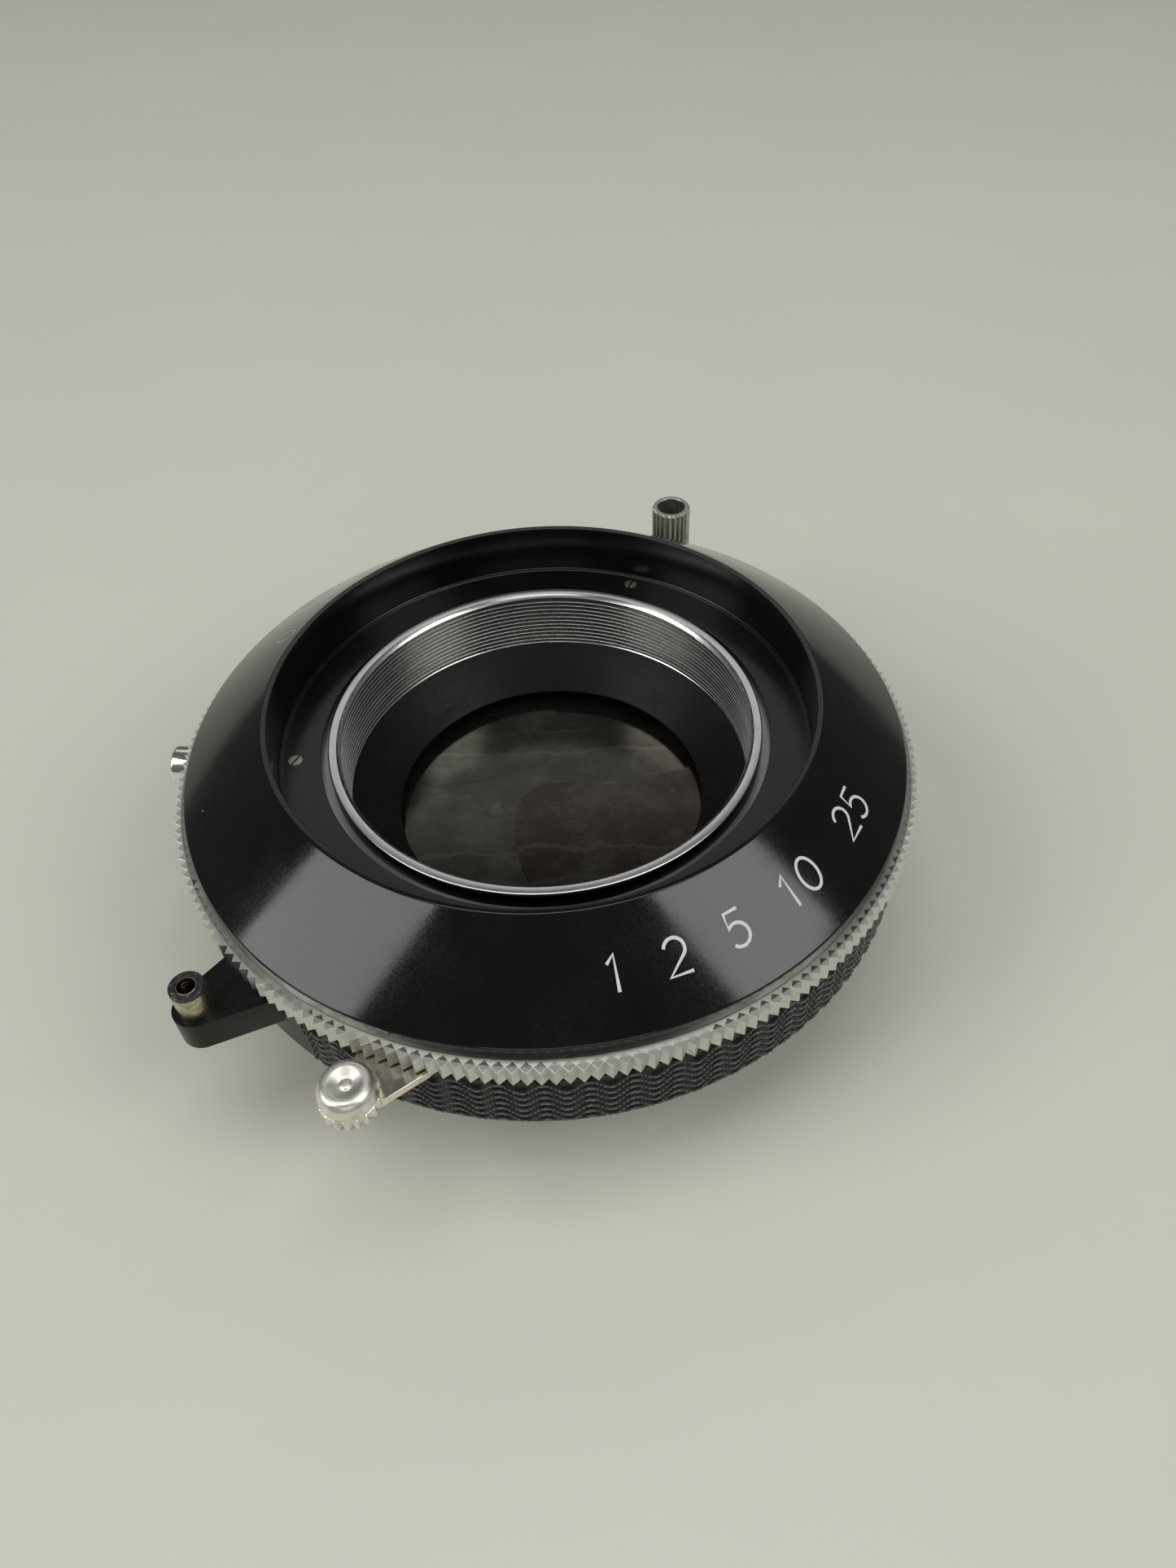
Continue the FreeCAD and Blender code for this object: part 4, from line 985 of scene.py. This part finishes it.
def give(piece: bpy.types.Object, finish: Finish, body: str, slot: str = "", *nodes: str) -> bpy.types.Object:
    """Dress a piece, mount it on its body and hide what it stands for.

    Args:
        piece: the piece.
        finish: its finish.
        body: CAD body that it rides on.
        slot: not used.
        nodes: CAD nodes that it stands for.
    Returns:
        The piece.
    """
    piece.data.materials.clear()
    piece.data.materials.append(finish.material())
    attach(piece, body)
    if nodes:
        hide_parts(*nodes)
    LOG.info("%s: %d faces on %s", piece.name, len(piece.data.polygons), body)
    return piece


def dress(node: str, finish: Finish) -> None:
    """Give a carried-over CAD node its finish.

    Args:
        node: name of the node.
        finish: its finish.
    """
    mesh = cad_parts[node].data
    mesh.materials.clear()
    mesh.materials.append(finish.material())
    LOG.info("%s: CAD node in %s", node, finish.name)


# ---- tubes -------------------------------------------------------------------------------
@dataclass
class Tubes:
    """Threaded front and rear tubes, the light baffle and the flange screws."""

    bore_r: float = 28.65
    front_r: float = 30.33
    hub_r: float = 32.5
    baffle_r: float = 29.6
    spigot_r: float = 31.0
    opening_r: float = 22.4
    pitch: float = 0.75
    thread_depth: float = 0.34
    mouth: float = 0.55
    foot_end: float = 0.4
    screw_radius: float = 40.2
    screw_first: float = 18.0
    screw_head_r: float = 1.2
    segments: int = 256

    def front(self) -> bpy.types.Object:
        """Front tube with its inner thread and chamfered mouth.

        Returns:
            The piece.
        """
        low, high = extent("front_tube")
        z_end, z_lip = extent("funnel_baffle")[1].z, extent("front_cover")[0].z
        wall = thread_wall(self.bore_r, z_end, high.z - self.mouth, self.pitch)
        rest = soften([(self.bore_r + 0.5, high.z, 0.06), (self.front_r, high.z, 0.22),
                       (self.front_r, z_lip, 0.05), (self.hub_r, z_lip, 0.1), (self.hub_r, low.z, 0.1),
                       (self.baffle_r, low.z, 0.05), (self.baffle_r, z_end, 0.05)])
        cut = thread(self.bore_r, self.thread_depth, self.pitch, z_end, high.z - self.mouth)
        return revolve("front_cell_tube", wall + rest, self.segments, cut, crease=THREAD_CREASE)

    def rear(self) -> bpy.types.Object:
        """Rear tube, threaded inside and out, with its flange.

        Returns:
            The piece.
        """
        low, high = extent("rear_tube")
        flange_z, flange_r = extent("case_body")[0].z, high.x
        start = low.z + self.foot_end
        inner = thread_wall(self.bore_r, start, flange_z, self.pitch)
        outer = thread_wall(self.spigot_r, start, flange_z, self.pitch, upwards=False)
        flange = soften([(self.bore_r - 0.05, flange_z, 0.0), (self.opening_r + 0.4, flange_z, 0.1),
                         (self.opening_r + 0.4, high.z, 0.1), (flange_r, high.z, 0.05),
                         (flange_r, flange_z, 0.15),
                         (self.spigot_r + 0.05, flange_z, 0.0)])
        foot = soften([(self.spigot_r - 0.4, low.z, 0.05), (self.bore_r + 0.4, low.z, 0.05)])
        inside = thread(self.bore_r, self.thread_depth, self.pitch, start, flange_z)
        outside = thread(self.spigot_r, -self.thread_depth, self.pitch, start, flange_z)
        return revolve("rear_cell_tube", inner + flange + outer + foot, self.segments,
                       lambda r, z, a: outside(*inside(r, z, a), a), crease=THREAD_CREASE)

    def baffle(self) -> bpy.types.Object:
        """Black cone between the thread and the blades.

        Returns:
            The piece.
        """
        low, high = extent("funnel_baffle")
        loop = soften([(self.bore_r, high.z, 0.1), (self.baffle_r, high.z, 0.05),
                       (self.baffle_r, low.z, 0.05),
                       (self.opening_r, low.z, 0.05), (self.opening_r, low.z + 0.2, 0.08)])
        return revolve("light_baffle", loop, self.segments)

    def build(self) -> None:
        """Make, dress and mount the tubes' pieces."""
        give(self.front(), TUBE_STEEL, "case", "bright_steel", "front_tube")
        give(self.rear(), BRIGHT_STEEL, "case", "bright_steel", "rear_tube")
        give(self.baffle(), BAFFLE_BLACK, "case", "black_anodised", "funnel_baffle")
        face = extent("case_body")[0].z
        heads = slotted_screws("flange_screw_heads", 5, self.screw_radius, self.screw_first,
                               self.screw_head_r, face - 0.08, -0.6, 0.36)
        give(heads, DULL_STEEL, "case", "bright_steel", "flange_screws")


# ---- speed ring --------------------------------------------------------------------------
@dataclass
class SpeedRing:
    """Ring with two hundred knurl teeth round its edge."""

    teeth: int = 200
    root_r: float = 51.2
    bore_r: float = 32.55
    step_r: float = 47.5
    web: float = 1.4
    chamfer: float = 0.04
    end_scale: float = 0.93

    def ring(self) -> bpy.types.Object:
        """The plain ring inside the teeth.

        Returns:
            The piece.
        """
        low, high = extent("speed_ring")
        loop = soften([(self.root_r, low.z, 0.1), (self.root_r, high.z, 0.1), (self.bore_r, high.z, 0.1),
                       (self.bore_r, high.z - self.web, 0.1), (self.step_r, high.z - self.web, 0.1),
                       (self.step_r, low.z, 0.1)])
        return revolve("speed_ring_disc", loop, 400)

    def knurl(self) -> bpy.types.Object:
        """The teeth, each a square bar on edge with chamfered ends.

        Returns:
            The piece.
        """
        low, high = extent("speed_ring")
        half = high.x - self.root_r
        tree = Tree("knurl")
        count = tree.size("Teeth", self.teeth, "NodeSocketInt")
        root = tree.size("Root radius", self.root_r * MM)
        side = tree.size("Tooth side", half * 2 ** 0.5 * MM)
        width = tree.size("Ring width", (high.z - low.z) * MM)
        chamfer = tree.size("Chamfer", self.chamfer * MM)
        middle = tree.size("Middle height", (high.z + low.z) / 2 * MM)
        tall = tree.minus(width, tree.times(chamfer, 2.0))
        cube = tree.add("GeometryNodeMeshCube", {"Size": tree.vector(side, side, tall)})
        normal = tree.add("GeometryNodeInputNormal")
        ends = tree.math("GREATER_THAN", tree.math("ABSOLUTE", tree.split(normal.outputs[0])[2]), 0.5)
        grown = tree.add("GeometryNodeExtrudeMesh", {"Mesh": cube.outputs[0], "Selection": ends,
                                                     "Offset Scale": chamfer})
        small = tree.add("GeometryNodeScaleElements", {"Geometry": grown.outputs["Mesh"],
                                                       "Selection": grown.outputs["Top"],
                                                       "Scale": self.end_scale})
        on_edge = tree.add("GeometryNodeTransform", {"Geometry": small.outputs[0],
                                                     "Rotation": (0.0, 0.0, pi / 4)})
        ring = tree.add("GeometryNodeMeshCircle", {"Vertices": count, "Radius": root})
        ring = tree.add("GeometryNodeTransform", {"Geometry": ring.outputs[0],
                                                  "Translation": tree.vector(z=middle)})
        index = tree.add("GeometryNodeInputIndex")
        turn = tree.times(index.outputs[0], tree.math("DIVIDE", 2 * pi, count))
        teeth = tree.add("GeometryNodeInstanceOnPoints", {"Points": ring.outputs[0],
                                                          "Instance": on_edge.outputs[0],
                                                          "Rotation": tree.vector(z=turn)})
        return tree.grow("knurl_teeth", teeth.outputs[0], TOOTH_STEEL.material(), crease=20.0)

    def build(self) -> None:
        """Make, dress and mount the ring."""
        give(self.ring(), RING_STEEL, "speed_ring", "knurled_steel", "speed_ring")
        give(self.knurl(), TOOTH_STEEL, "speed_ring", "knurled_steel")


# ---- case --------------------------------------------------------------------------------
@dataclass
class Case:
    """Black case with waves cut round its side."""

    waves: int = 60
    crest_at: float = -90.0
    pitch: float = 1.35
    swing: float = 1.8
    highest: float = 22.75
    relief: float = 0.55
    proud: float = 0.03
    sunk: float = 0.12
    sharpness: float = 1.6
    margin: float = 0.05
    band_thick: float = 0.5
    row: float = 0.14
    segments: int = 720
    back_wall: float = 1.2
    window_clear: float = 0.35
    foot: tuple[float, float] = (-148.5, -125.5)
    socket_clear: float = 3.6

    def lower_edge(self) -> float:
        """Height of the lower edge of the case's side."""
        return extent("shutter_blade_1")[0].z - self.back_wall

    def upper_edge(self) -> float:
        """Height of the waves' upper edge, below the window that the cocking lever swings in."""
        return extent("cocking_lever")[0].z - self.window_clear

    def band(self) -> bpy.types.Object:
        """Closed band round the case, fine enough to take the waves.

        Returns:
            The piece.
        """
        high = extent("case_body")[1]
        z_low, z_high = self.lower_edge(), self.upper_edge()
        outer = ladder(high.x, z_low, z_high, self.row)
        back = [(high.x - self.band_thick, z_high), (high.x - self.band_thick, z_low)]
        return revolve("case_waves", outer + back, self.segments)

    def engraved(self) -> bpy.types.Object:
        """The band with its waves, raised by nodes; plain at the bracket foot and the flash socket.

        Returns:
            The piece.
        """
        high = extent("case_body")[1]
        z_low = self.lower_edge()
        socket_low, socket_high = extent("sync_socket")
        start = self.band()
        tree = Tree("case_wave_relief")
        face = tree.size("Case radius", high.x * MM)
        waves = tree.size("Waves round", float(self.waves))
        pitch = tree.size("Line pitch", self.pitch * MM)
        swing = tree.size("Wave height", self.swing * MM)
        top = tree.size("Highest crest", self.highest * MM)
        relief = tree.size("Relief", self.relief * MM)
        floor = tree.size("Lower edge", z_low * MM)
        ceiling = tree.size("Upper edge", self.upper_edge() * MM)
        clear = tree.size("Socket clearance", self.socket_clear * MM)
        socket_z = tree.size("Socket height", (socket_low.z + socket_high.z) / 2 * MM)
        place = tree.add("GeometryNodeInputPosition")
        x, y, z = tree.split(place.outputs[0])
        turn = tree.math("ARCTAN2", y, x)
        radius = tree.length(x, y)
        phase = tree.times(tree.minus(turn, radians(self.crest_at)), waves)
        sway = tree.times(tree.minus(tree.math("COSINE", phase), 1.0), tree.times(swing, 0.5))
        lines = tree.math("DIVIDE", tree.minus(tree.plus(top, sway), z), pitch)
        off = tree.math("ABSOLUTE", tree.minus(lines, tree.math("ROUND", lines)))
        crest = tree.math("POWER", tree.minus(1.0, tree.times(off, 2.0)), self.sharpness)
        within = tree.math("GREATER_THAN", lines, -0.5)
        edge = self.margin * MM
        within = tree.times(within, tree.math("GREATER_THAN", z, tree.plus(floor, edge)))
        within = tree.times(within, tree.math("LESS_THAN", z, tree.minus(ceiling, edge)))
        plain = tree.times(tree.math("GREATER_THAN", turn, radians(self.foot[0])),
                           tree.math("LESS_THAN", turn, radians(self.foot[1])))
        within = tree.times(within, tree.minus(1.0, plain))
        aside = tree.times(tree.math("SINE", tree.minus(turn, radians(SOCKET_HEADING))), radius)
        far = tree.length(aside, tree.minus(z, socket_z))
        hole = tree.times(tree.math("LESS_THAN", far, clear), tree.math("LESS_THAN", x, 0.0))
        within = tree.times(within, tree.minus(1.0, hole))
        lifted = tree.math("MULTIPLY_ADD", crest, relief, self.proud * MM)
        grown = tree.minus(tree.times(within, tree.plus(lifted, self.sunk * MM)), self.sunk * MM)
        grown = tree.times(grown, tree.math("GREATER_THAN", radius, tree.minus(face, 0.2 * MM)))
        offset = tree.vector(tree.times(grown, tree.math("COSINE", turn)),
                             tree.times(grown, tree.math("SINE", turn)))
        moved = tree.add("GeometryNodeSetPosition", {"Geometry": tree.entry.outputs["Geometry"],
                                                     "Offset": offset})
        return tree.grow("case_waves", moved.outputs[0], WAVE_BLACK.material(), start, STROKE_CREASE)

    def build(self) -> None:
        """Make, dress and mount the case."""
        give(self.engraved(), WAVE_BLACK, "case", "wave_black")
        dress("case_body", CASE_BLACK)


# ---- levers and controls -----------------------------------------------------------------
@dataclass
class CockingLever:
    """Plated lever with its round button."""

    button_r: float = 3.6
    scallops: int = 18
    scallop_depth: float = 0.5
    edge: float = 0.09

    def button(self) -> bpy.types.Object:
        """Domed button with a dished crown and a scalloped skirt.

        Returns:
            The piece.
        """
        low, high = extent("cocking_knob")
        base, tall = low.z, high.z - low.z
        skirt = 0.45 * tall
        shape = [(0.0, tall - 0.32, 0.0), (0.45, tall - 0.34, 0.2), (0.75, tall - 0.52, 0.25),
                 (1.5, tall - 0.22, 0.5), (2.05, tall, 0.5), (2.75, tall - 0.08, 0.6),
                 (3.35, tall - 0.8, 0.6), (3.5, skirt + 0.45, 0.3),
                 (3.34, skirt + 0.12, 0.1), (3.42, skirt, 0.08), (self.button_r, skirt - 0.1, 0.08),
                 (self.button_r, 0.25, 0.1), (self.button_r - 0.25, 0.0, 0.1), (0.0, 0.0, 0.0)]
        loop = [(r, base + z) for r, z in soften(shape, steps=5)]
        cut = flutes(self.scallops, self.scallop_depth, base + 0.02, base + skirt - 0.02, 3.2, 1.4)
        return revolve("cocking_button", loop, 216, cut, centre_of("cocking_knob"), closed=False, crease=42.0)

    def build(self) -> None:
        """Make, dress and mount the lever."""
        plate = eased("cocking_lever_plate", "cocking_lever", self.edge)
        give(plate, LEVER_CHROME, "cocking", "chrome", "cocking_lever")
        give(self.button(), KNOB_CHROME, "cocking", "chrome", "cocking_knob")


@dataclass
class ReleaseBracket:
    """Black bracket with the cable-release socket."""

    sleeve_r: float = 2.15
    bore_r: float = 1.05
    guide_r: float = 0.65
    thread_l: float = 3.0
    thread_pitch: float = 0.5
    thread_depth: float = 0.12
    edge: float = 0.16

    def sleeve(self) -> bpy.types.Object:
        """Nickel sleeve with a thin collar round its bore.

        Returns:
            The piece.
        """
        low, high = extent("release_socket")
        end = extent("socket_cap")[1].z
        step = end - self.thread_l
        wall = thread_wall(self.bore_r, step, end - 0.1, self.thread_pitch, upwards=False)
        loop = soften([(self.bore_r + 0.22, high.z, 0.02), (self.bore_r + 0.2, end - 0.06, 0.05),
                       (self.bore_r + 0.05, end - 0.06, 0.03)]) + wall + soften(
            [(self.guide_r, step, 0.02), (self.guide_r, low.z, 0.02), (self.sleeve_r, low.z, 0.05),
             (self.sleeve_r, high.z, 0.08)])
        cut = thread(self.bore_r, self.thread_depth, self.thread_pitch, step, end - 0.1)
        return revolve("release_sleeve", loop, 96, cut, centre_of("release_socket"))

    def cap(self) -> bpy.types.Object:
        """Worn black ring on the sleeve's end.

        Returns:
            The piece.
        """
        low, high = extent("socket_cap")
        loop = soften([(self.bore_r + 0.26, low.z + 0.02, 0.05), (self.bore_r + 0.26, high.z, 0.12),
                       (self.sleeve_r, high.z, 0.18), (self.sleeve_r, low.z + 0.02, 0.08)])
        return revolve("release_cap", loop, 96, None, centre_of("socket_cap"))

    def build(self) -> None:
        """Make, dress and mount the bracket."""
        arm = eased("release_arm", "release_bracket", self.edge)
        give(arm, SATIN_BLACK, "case", "black_enamel", "release_bracket")
        give(self.sleeve(), SLEEVE_NICKEL, "case", "nickel", "release_socket")
        give(self.cap(), CAP_BLACK, "case", "socket_black", "socket_cap")
        for node in ("release_plunger", "release_lever", "release_pin"):
            dress(node, DULL_STEEL)


@dataclass
class ApertureControl:
    """Flat lever below the case, with its hollow finger post."""

    post_r: float = 3.3
    bore_r: float = 2.35
    bore_l: float = 8.0
    stem_r: float = 2.4
    grip_l: float = 10.5
    ridges: int = 24
    ridge_depth: float = 0.26
    edge: float = 0.12

    def post(self) -> bpy.types.Object:
        """Post with straight ridges, a chamfered end and a bore.

        Returns:
            The piece.
        """
        low, high = extent("aperture_post")
        grip = high.z - self.grip_l
        crown = [(self.bore_r, high.z - self.bore_l, 0.1), (self.bore_r, high.z - 0.1, 0.05),
                 (self.bore_r + 0.12, high.z, 0.03), (self.post_r - 0.3, high.z, 0.05),
                 (self.post_r, high.z - 0.4, 0.05)]
        lower = [(self.post_r, grip + 0.3, 0.1), (self.stem_r + 0.5, grip, 0.05), (self.stem_r, grip, 0.05),
                 (self.stem_r, low.z, 0.05), (0.0, low.z, 0.0)]
        loop = [(0.0, high.z - self.bore_l)] + soften(crown) + soften(lower)[:-1] + [(0.0, low.z)]
        cut = flutes(self.ridges, self.ridge_depth, grip - 0.01, high.z - 0.02, self.post_r - 0.35, 0.8)
        return revolve("aperture_grip", loop, 240, cut, centre_of("aperture_post"), closed=False, crease=30.0)

    def build(self) -> None:
        """Make, dress and mount the control."""
        give(self.post(), POST_STEEL, "aperture_control", "nickel", "aperture_post")
        arm = eased("aperture_arm", "aperture_lever", self.edge)
        give(arm, DULL_STEEL, "aperture_control", "bright_steel", "aperture_lever")
        dress("lever_rivets", DULL_STEEL)
        dress("iris_ring", BRASS)


@dataclass
class FlashSocket:
    """Polished coaxial socket on the side of the case."""

    sleeve_r: float = 3.05
    neck_r: float = 2.7
    bore_r: float = 2.0
    case_r: float = 50.5
    wall: float = 1.7
    reach: float = 57.6

    def sleeve(self) -> bpy.types.Object:
        """Sleeve turned about its own axis, then laid on its side.

        Returns:
            The piece.
        """
        low, high = extent("sync_socket")
        inside = self.case_r - self.wall
        loop = soften([(self.bore_r, inside, 0.05), (self.bore_r, self.reach, 0.25),
                       (self.sleeve_r, self.reach, 0.7), (self.sleeve_r, self.case_r, 0.1),
                       (self.neck_r, self.case_r, 0.05), (self.neck_r, inside, 0.05)], steps=5)
        piece = revolve("flash_sleeve", loop, 96)
        lay = Matrix.Rotation(pi / 2, 4, "Y")
        aim = Matrix.Rotation(radians(SOCKET_HEADING), 4, "Z")
        rise = Matrix.Translation((0.0, 0.0, (low.z + high.z) / 2 * MM))
        return set_in_place(piece, rise @ aim @ lay)

    def build(self) -> None:
        """Make, dress and mount the socket."""
        give(self.sleeve(), CHROME, "case", "chrome", "sync_socket")
        dress("sync_insulator", INSULATOR)
        dress("sync_contact", BRASS)


@dataclass
class Leaves:
    """Shutter and iris blades, in blackened steel."""

    tones: tuple[tuple[float, float, float], ...] = (
        (0.046, 0.037, 0.032), (0.058, 0.056, 0.048), (0.050, 0.048, 0.041), (0.054, 0.050, 0.042))
    iris: int = 10
    iris_tone: tuple[float, float, float] = (0.02, 0.02, 0.02)
    first_heading: float = 20.0

    def build(self) -> None:
        """Give each blade a finish whose scratches run along it."""
        for i, tone in enumerate(self.tones):
            heading = self.first_heading + 90.0 * i
            dress(f"shutter_blade_{i + 1}", Leaf(f"shutter_leaf_{i + 1}", tone, 0.13, 0.9, heading))
        for i in range(self.iris):
            leaf = Leaf(f"iris_leaf_{i + 1:02d}", self.iris_tone, 0.4, 0.7, 36.0 * i)
            dress(f"iris_blade_{i + 1:02d}", leaf)


class Mechanism:
    """Wheels, plates and pins inside the case."""

    FINISHES = {"base_plate": BRASS, "blade_ring": BRASS, "spring_barrel": BRASS, "retard_wheel": BRASS,
                "escape_wheel": BRASS, "main_spring": BLUED_STEEL, "pallet_lever": DULL_STEEL,
                "arbors": DULL_STEEL,
                "base_pillars": DULL_STEEL, "base_screws": DULL_STEEL, "blade_studs": DULL_STEEL}

    def build(self) -> None:
        """Dress the carried-over nodes."""
        for node, finish in self.FINISHES.items():
            dress(node, finish)


# ---- studio ------------------------------------------------------------------------------
@dataclass
class Lamp:
    """A soft box aimed at the object."""

    name: str
    aim: tuple[float, float, float]
    distance: float
    width: float
    height: float
    radiance: float

    def build(self) -> None:
        """Hang the lamp, with its power worked out from its brightness and area."""
        data = bpy.data.lights.new(self.name, "AREA")
        data.shape, data.size, data.size_y = "RECTANGLE", self.width, self.height
        data.energy = self.radiance * pi * self.width * self.height
        lamp = bpy.data.objects.new(self.name, data)
        bpy.context.scene.collection.objects.link(lamp)
        towards = Vector(self.aim).normalized()
        lamp.location = towards * self.distance + Vector((0.0, 0.0, 0.02))
        lamp.rotation_euler = towards.to_track_quat("Z", "Y").to_euler()


class Studio:
    """Pale floor, soft light and the camera."""

    LENS, SENSOR = 26.57, 36.0
    SHIFT = (-0.0145, -0.0229)
    EYE = (0.00904, -0.11680, 0.14532)
    RIGHT, UP = (0.999483, -0.022944, -0.022516), (0.032146, 0.713362, 0.700058)

    def floor(self) -> None:
        """Plain pale sheet that the object lies on."""
        mesh = bpy.data.meshes.new("floor")
        corners = [(-2.5, -2.0, 0.0), (2.5, -2.0, 0.0), (2.5, 3.0, 0.0), (-2.5, 3.0, 0.0)]
        mesh.from_pydata(corners, [], [(0, 1, 2, 3)])
        sheet = bpy.data.objects.new("floor", mesh)
        bpy.context.scene.collection.objects.link(sheet)
        shader = Shader("pale_floor")
        cloud = shader.noise(60.0, 4.0)
        shader.use("Base Color", shader.blend(cloud, (0.66, 0.66, 0.575), (0.70, 0.70, 0.61)))
        shader.use("Roughness", 0.42)
        shader.relief(shader.noise(1.5, 3.0), 0.02, 0.3)
        mesh.materials.append(shader.material)

    def light(self) -> None:
        """Soft boxes at the left and right, weaker ones in front, above and behind, and a dim room."""
        Lamp("left_soft_box", (-0.75, -0.25, 0.60), 1.5, 0.80, 1.05, 3.5).build()
        Lamp("right_soft_box", (0.68, -0.29, 0.68), 1.5, 0.72, 0.86, 3.6).build()
        Lamp("front_soft_box", (0.05, -1.0, 0.50), 1.8, 1.3, 0.5, 1.3).build()
        Lamp("top_soft_box", (0.0, 0.02, 1.0), 1.6, 1.2, 0.7, 2.4).build()
        Lamp("back_soft_box", (-0.05, 0.80, 0.70), 1.6, 1.5, 0.5, 0.55).build()
        world = bpy.data.worlds.new("dim_room")
        world.use_nodes = True
        world.node_tree.nodes["Background"].inputs["Color"].default_value = (0.95, 0.98, 1.0, 1.0)
        world.node_tree.nodes["Background"].inputs["Strength"].default_value = 0.11
        bpy.context.scene.world = world
        bpy.context.scene.view_settings.view_transform = "Standard"

    def camera(self) -> None:
        """Camera above the near side, looking down at about 45 degrees."""
        data = bpy.data.cameras.new("camera")
        data.lens, data.sensor_width = self.LENS, self.SENSOR
        data.shift_x, data.shift_y = self.SHIFT
        data.clip_start = 0.01
        camera = bpy.data.objects.new("camera", data)
        bpy.context.scene.collection.objects.link(camera)
        right, up = Vector(self.RIGHT), Vector(self.UP)
        right.normalize()
        back = right.cross(up).normalized()
        up = back.cross(right)
        turn = Matrix((right, up, back)).transposed().to_4x4()
        camera.matrix_world = Matrix.Translation(self.EYE) @ turn
        bpy.context.scene.camera = camera

    def build(self) -> None:
        """Set up the whole studio."""
        self.camera()
        self.floor()
        self.light()


def main() -> None:
    """Build the studio and every sub-assembly."""
    logging.basicConfig(level=logging.INFO, format="%(name)s %(message)s")
    for part in (Studio(), FrontCover(), Tubes(), SpeedRing(), Case(), CockingLever(), ReleaseBracket(),
                 ApertureControl(), FlashSocket(), Leaves(), Mechanism()):
        part.build()
        LOG.info("built %s", type(part).__name__)


if __name__ == "__main__":
    main()
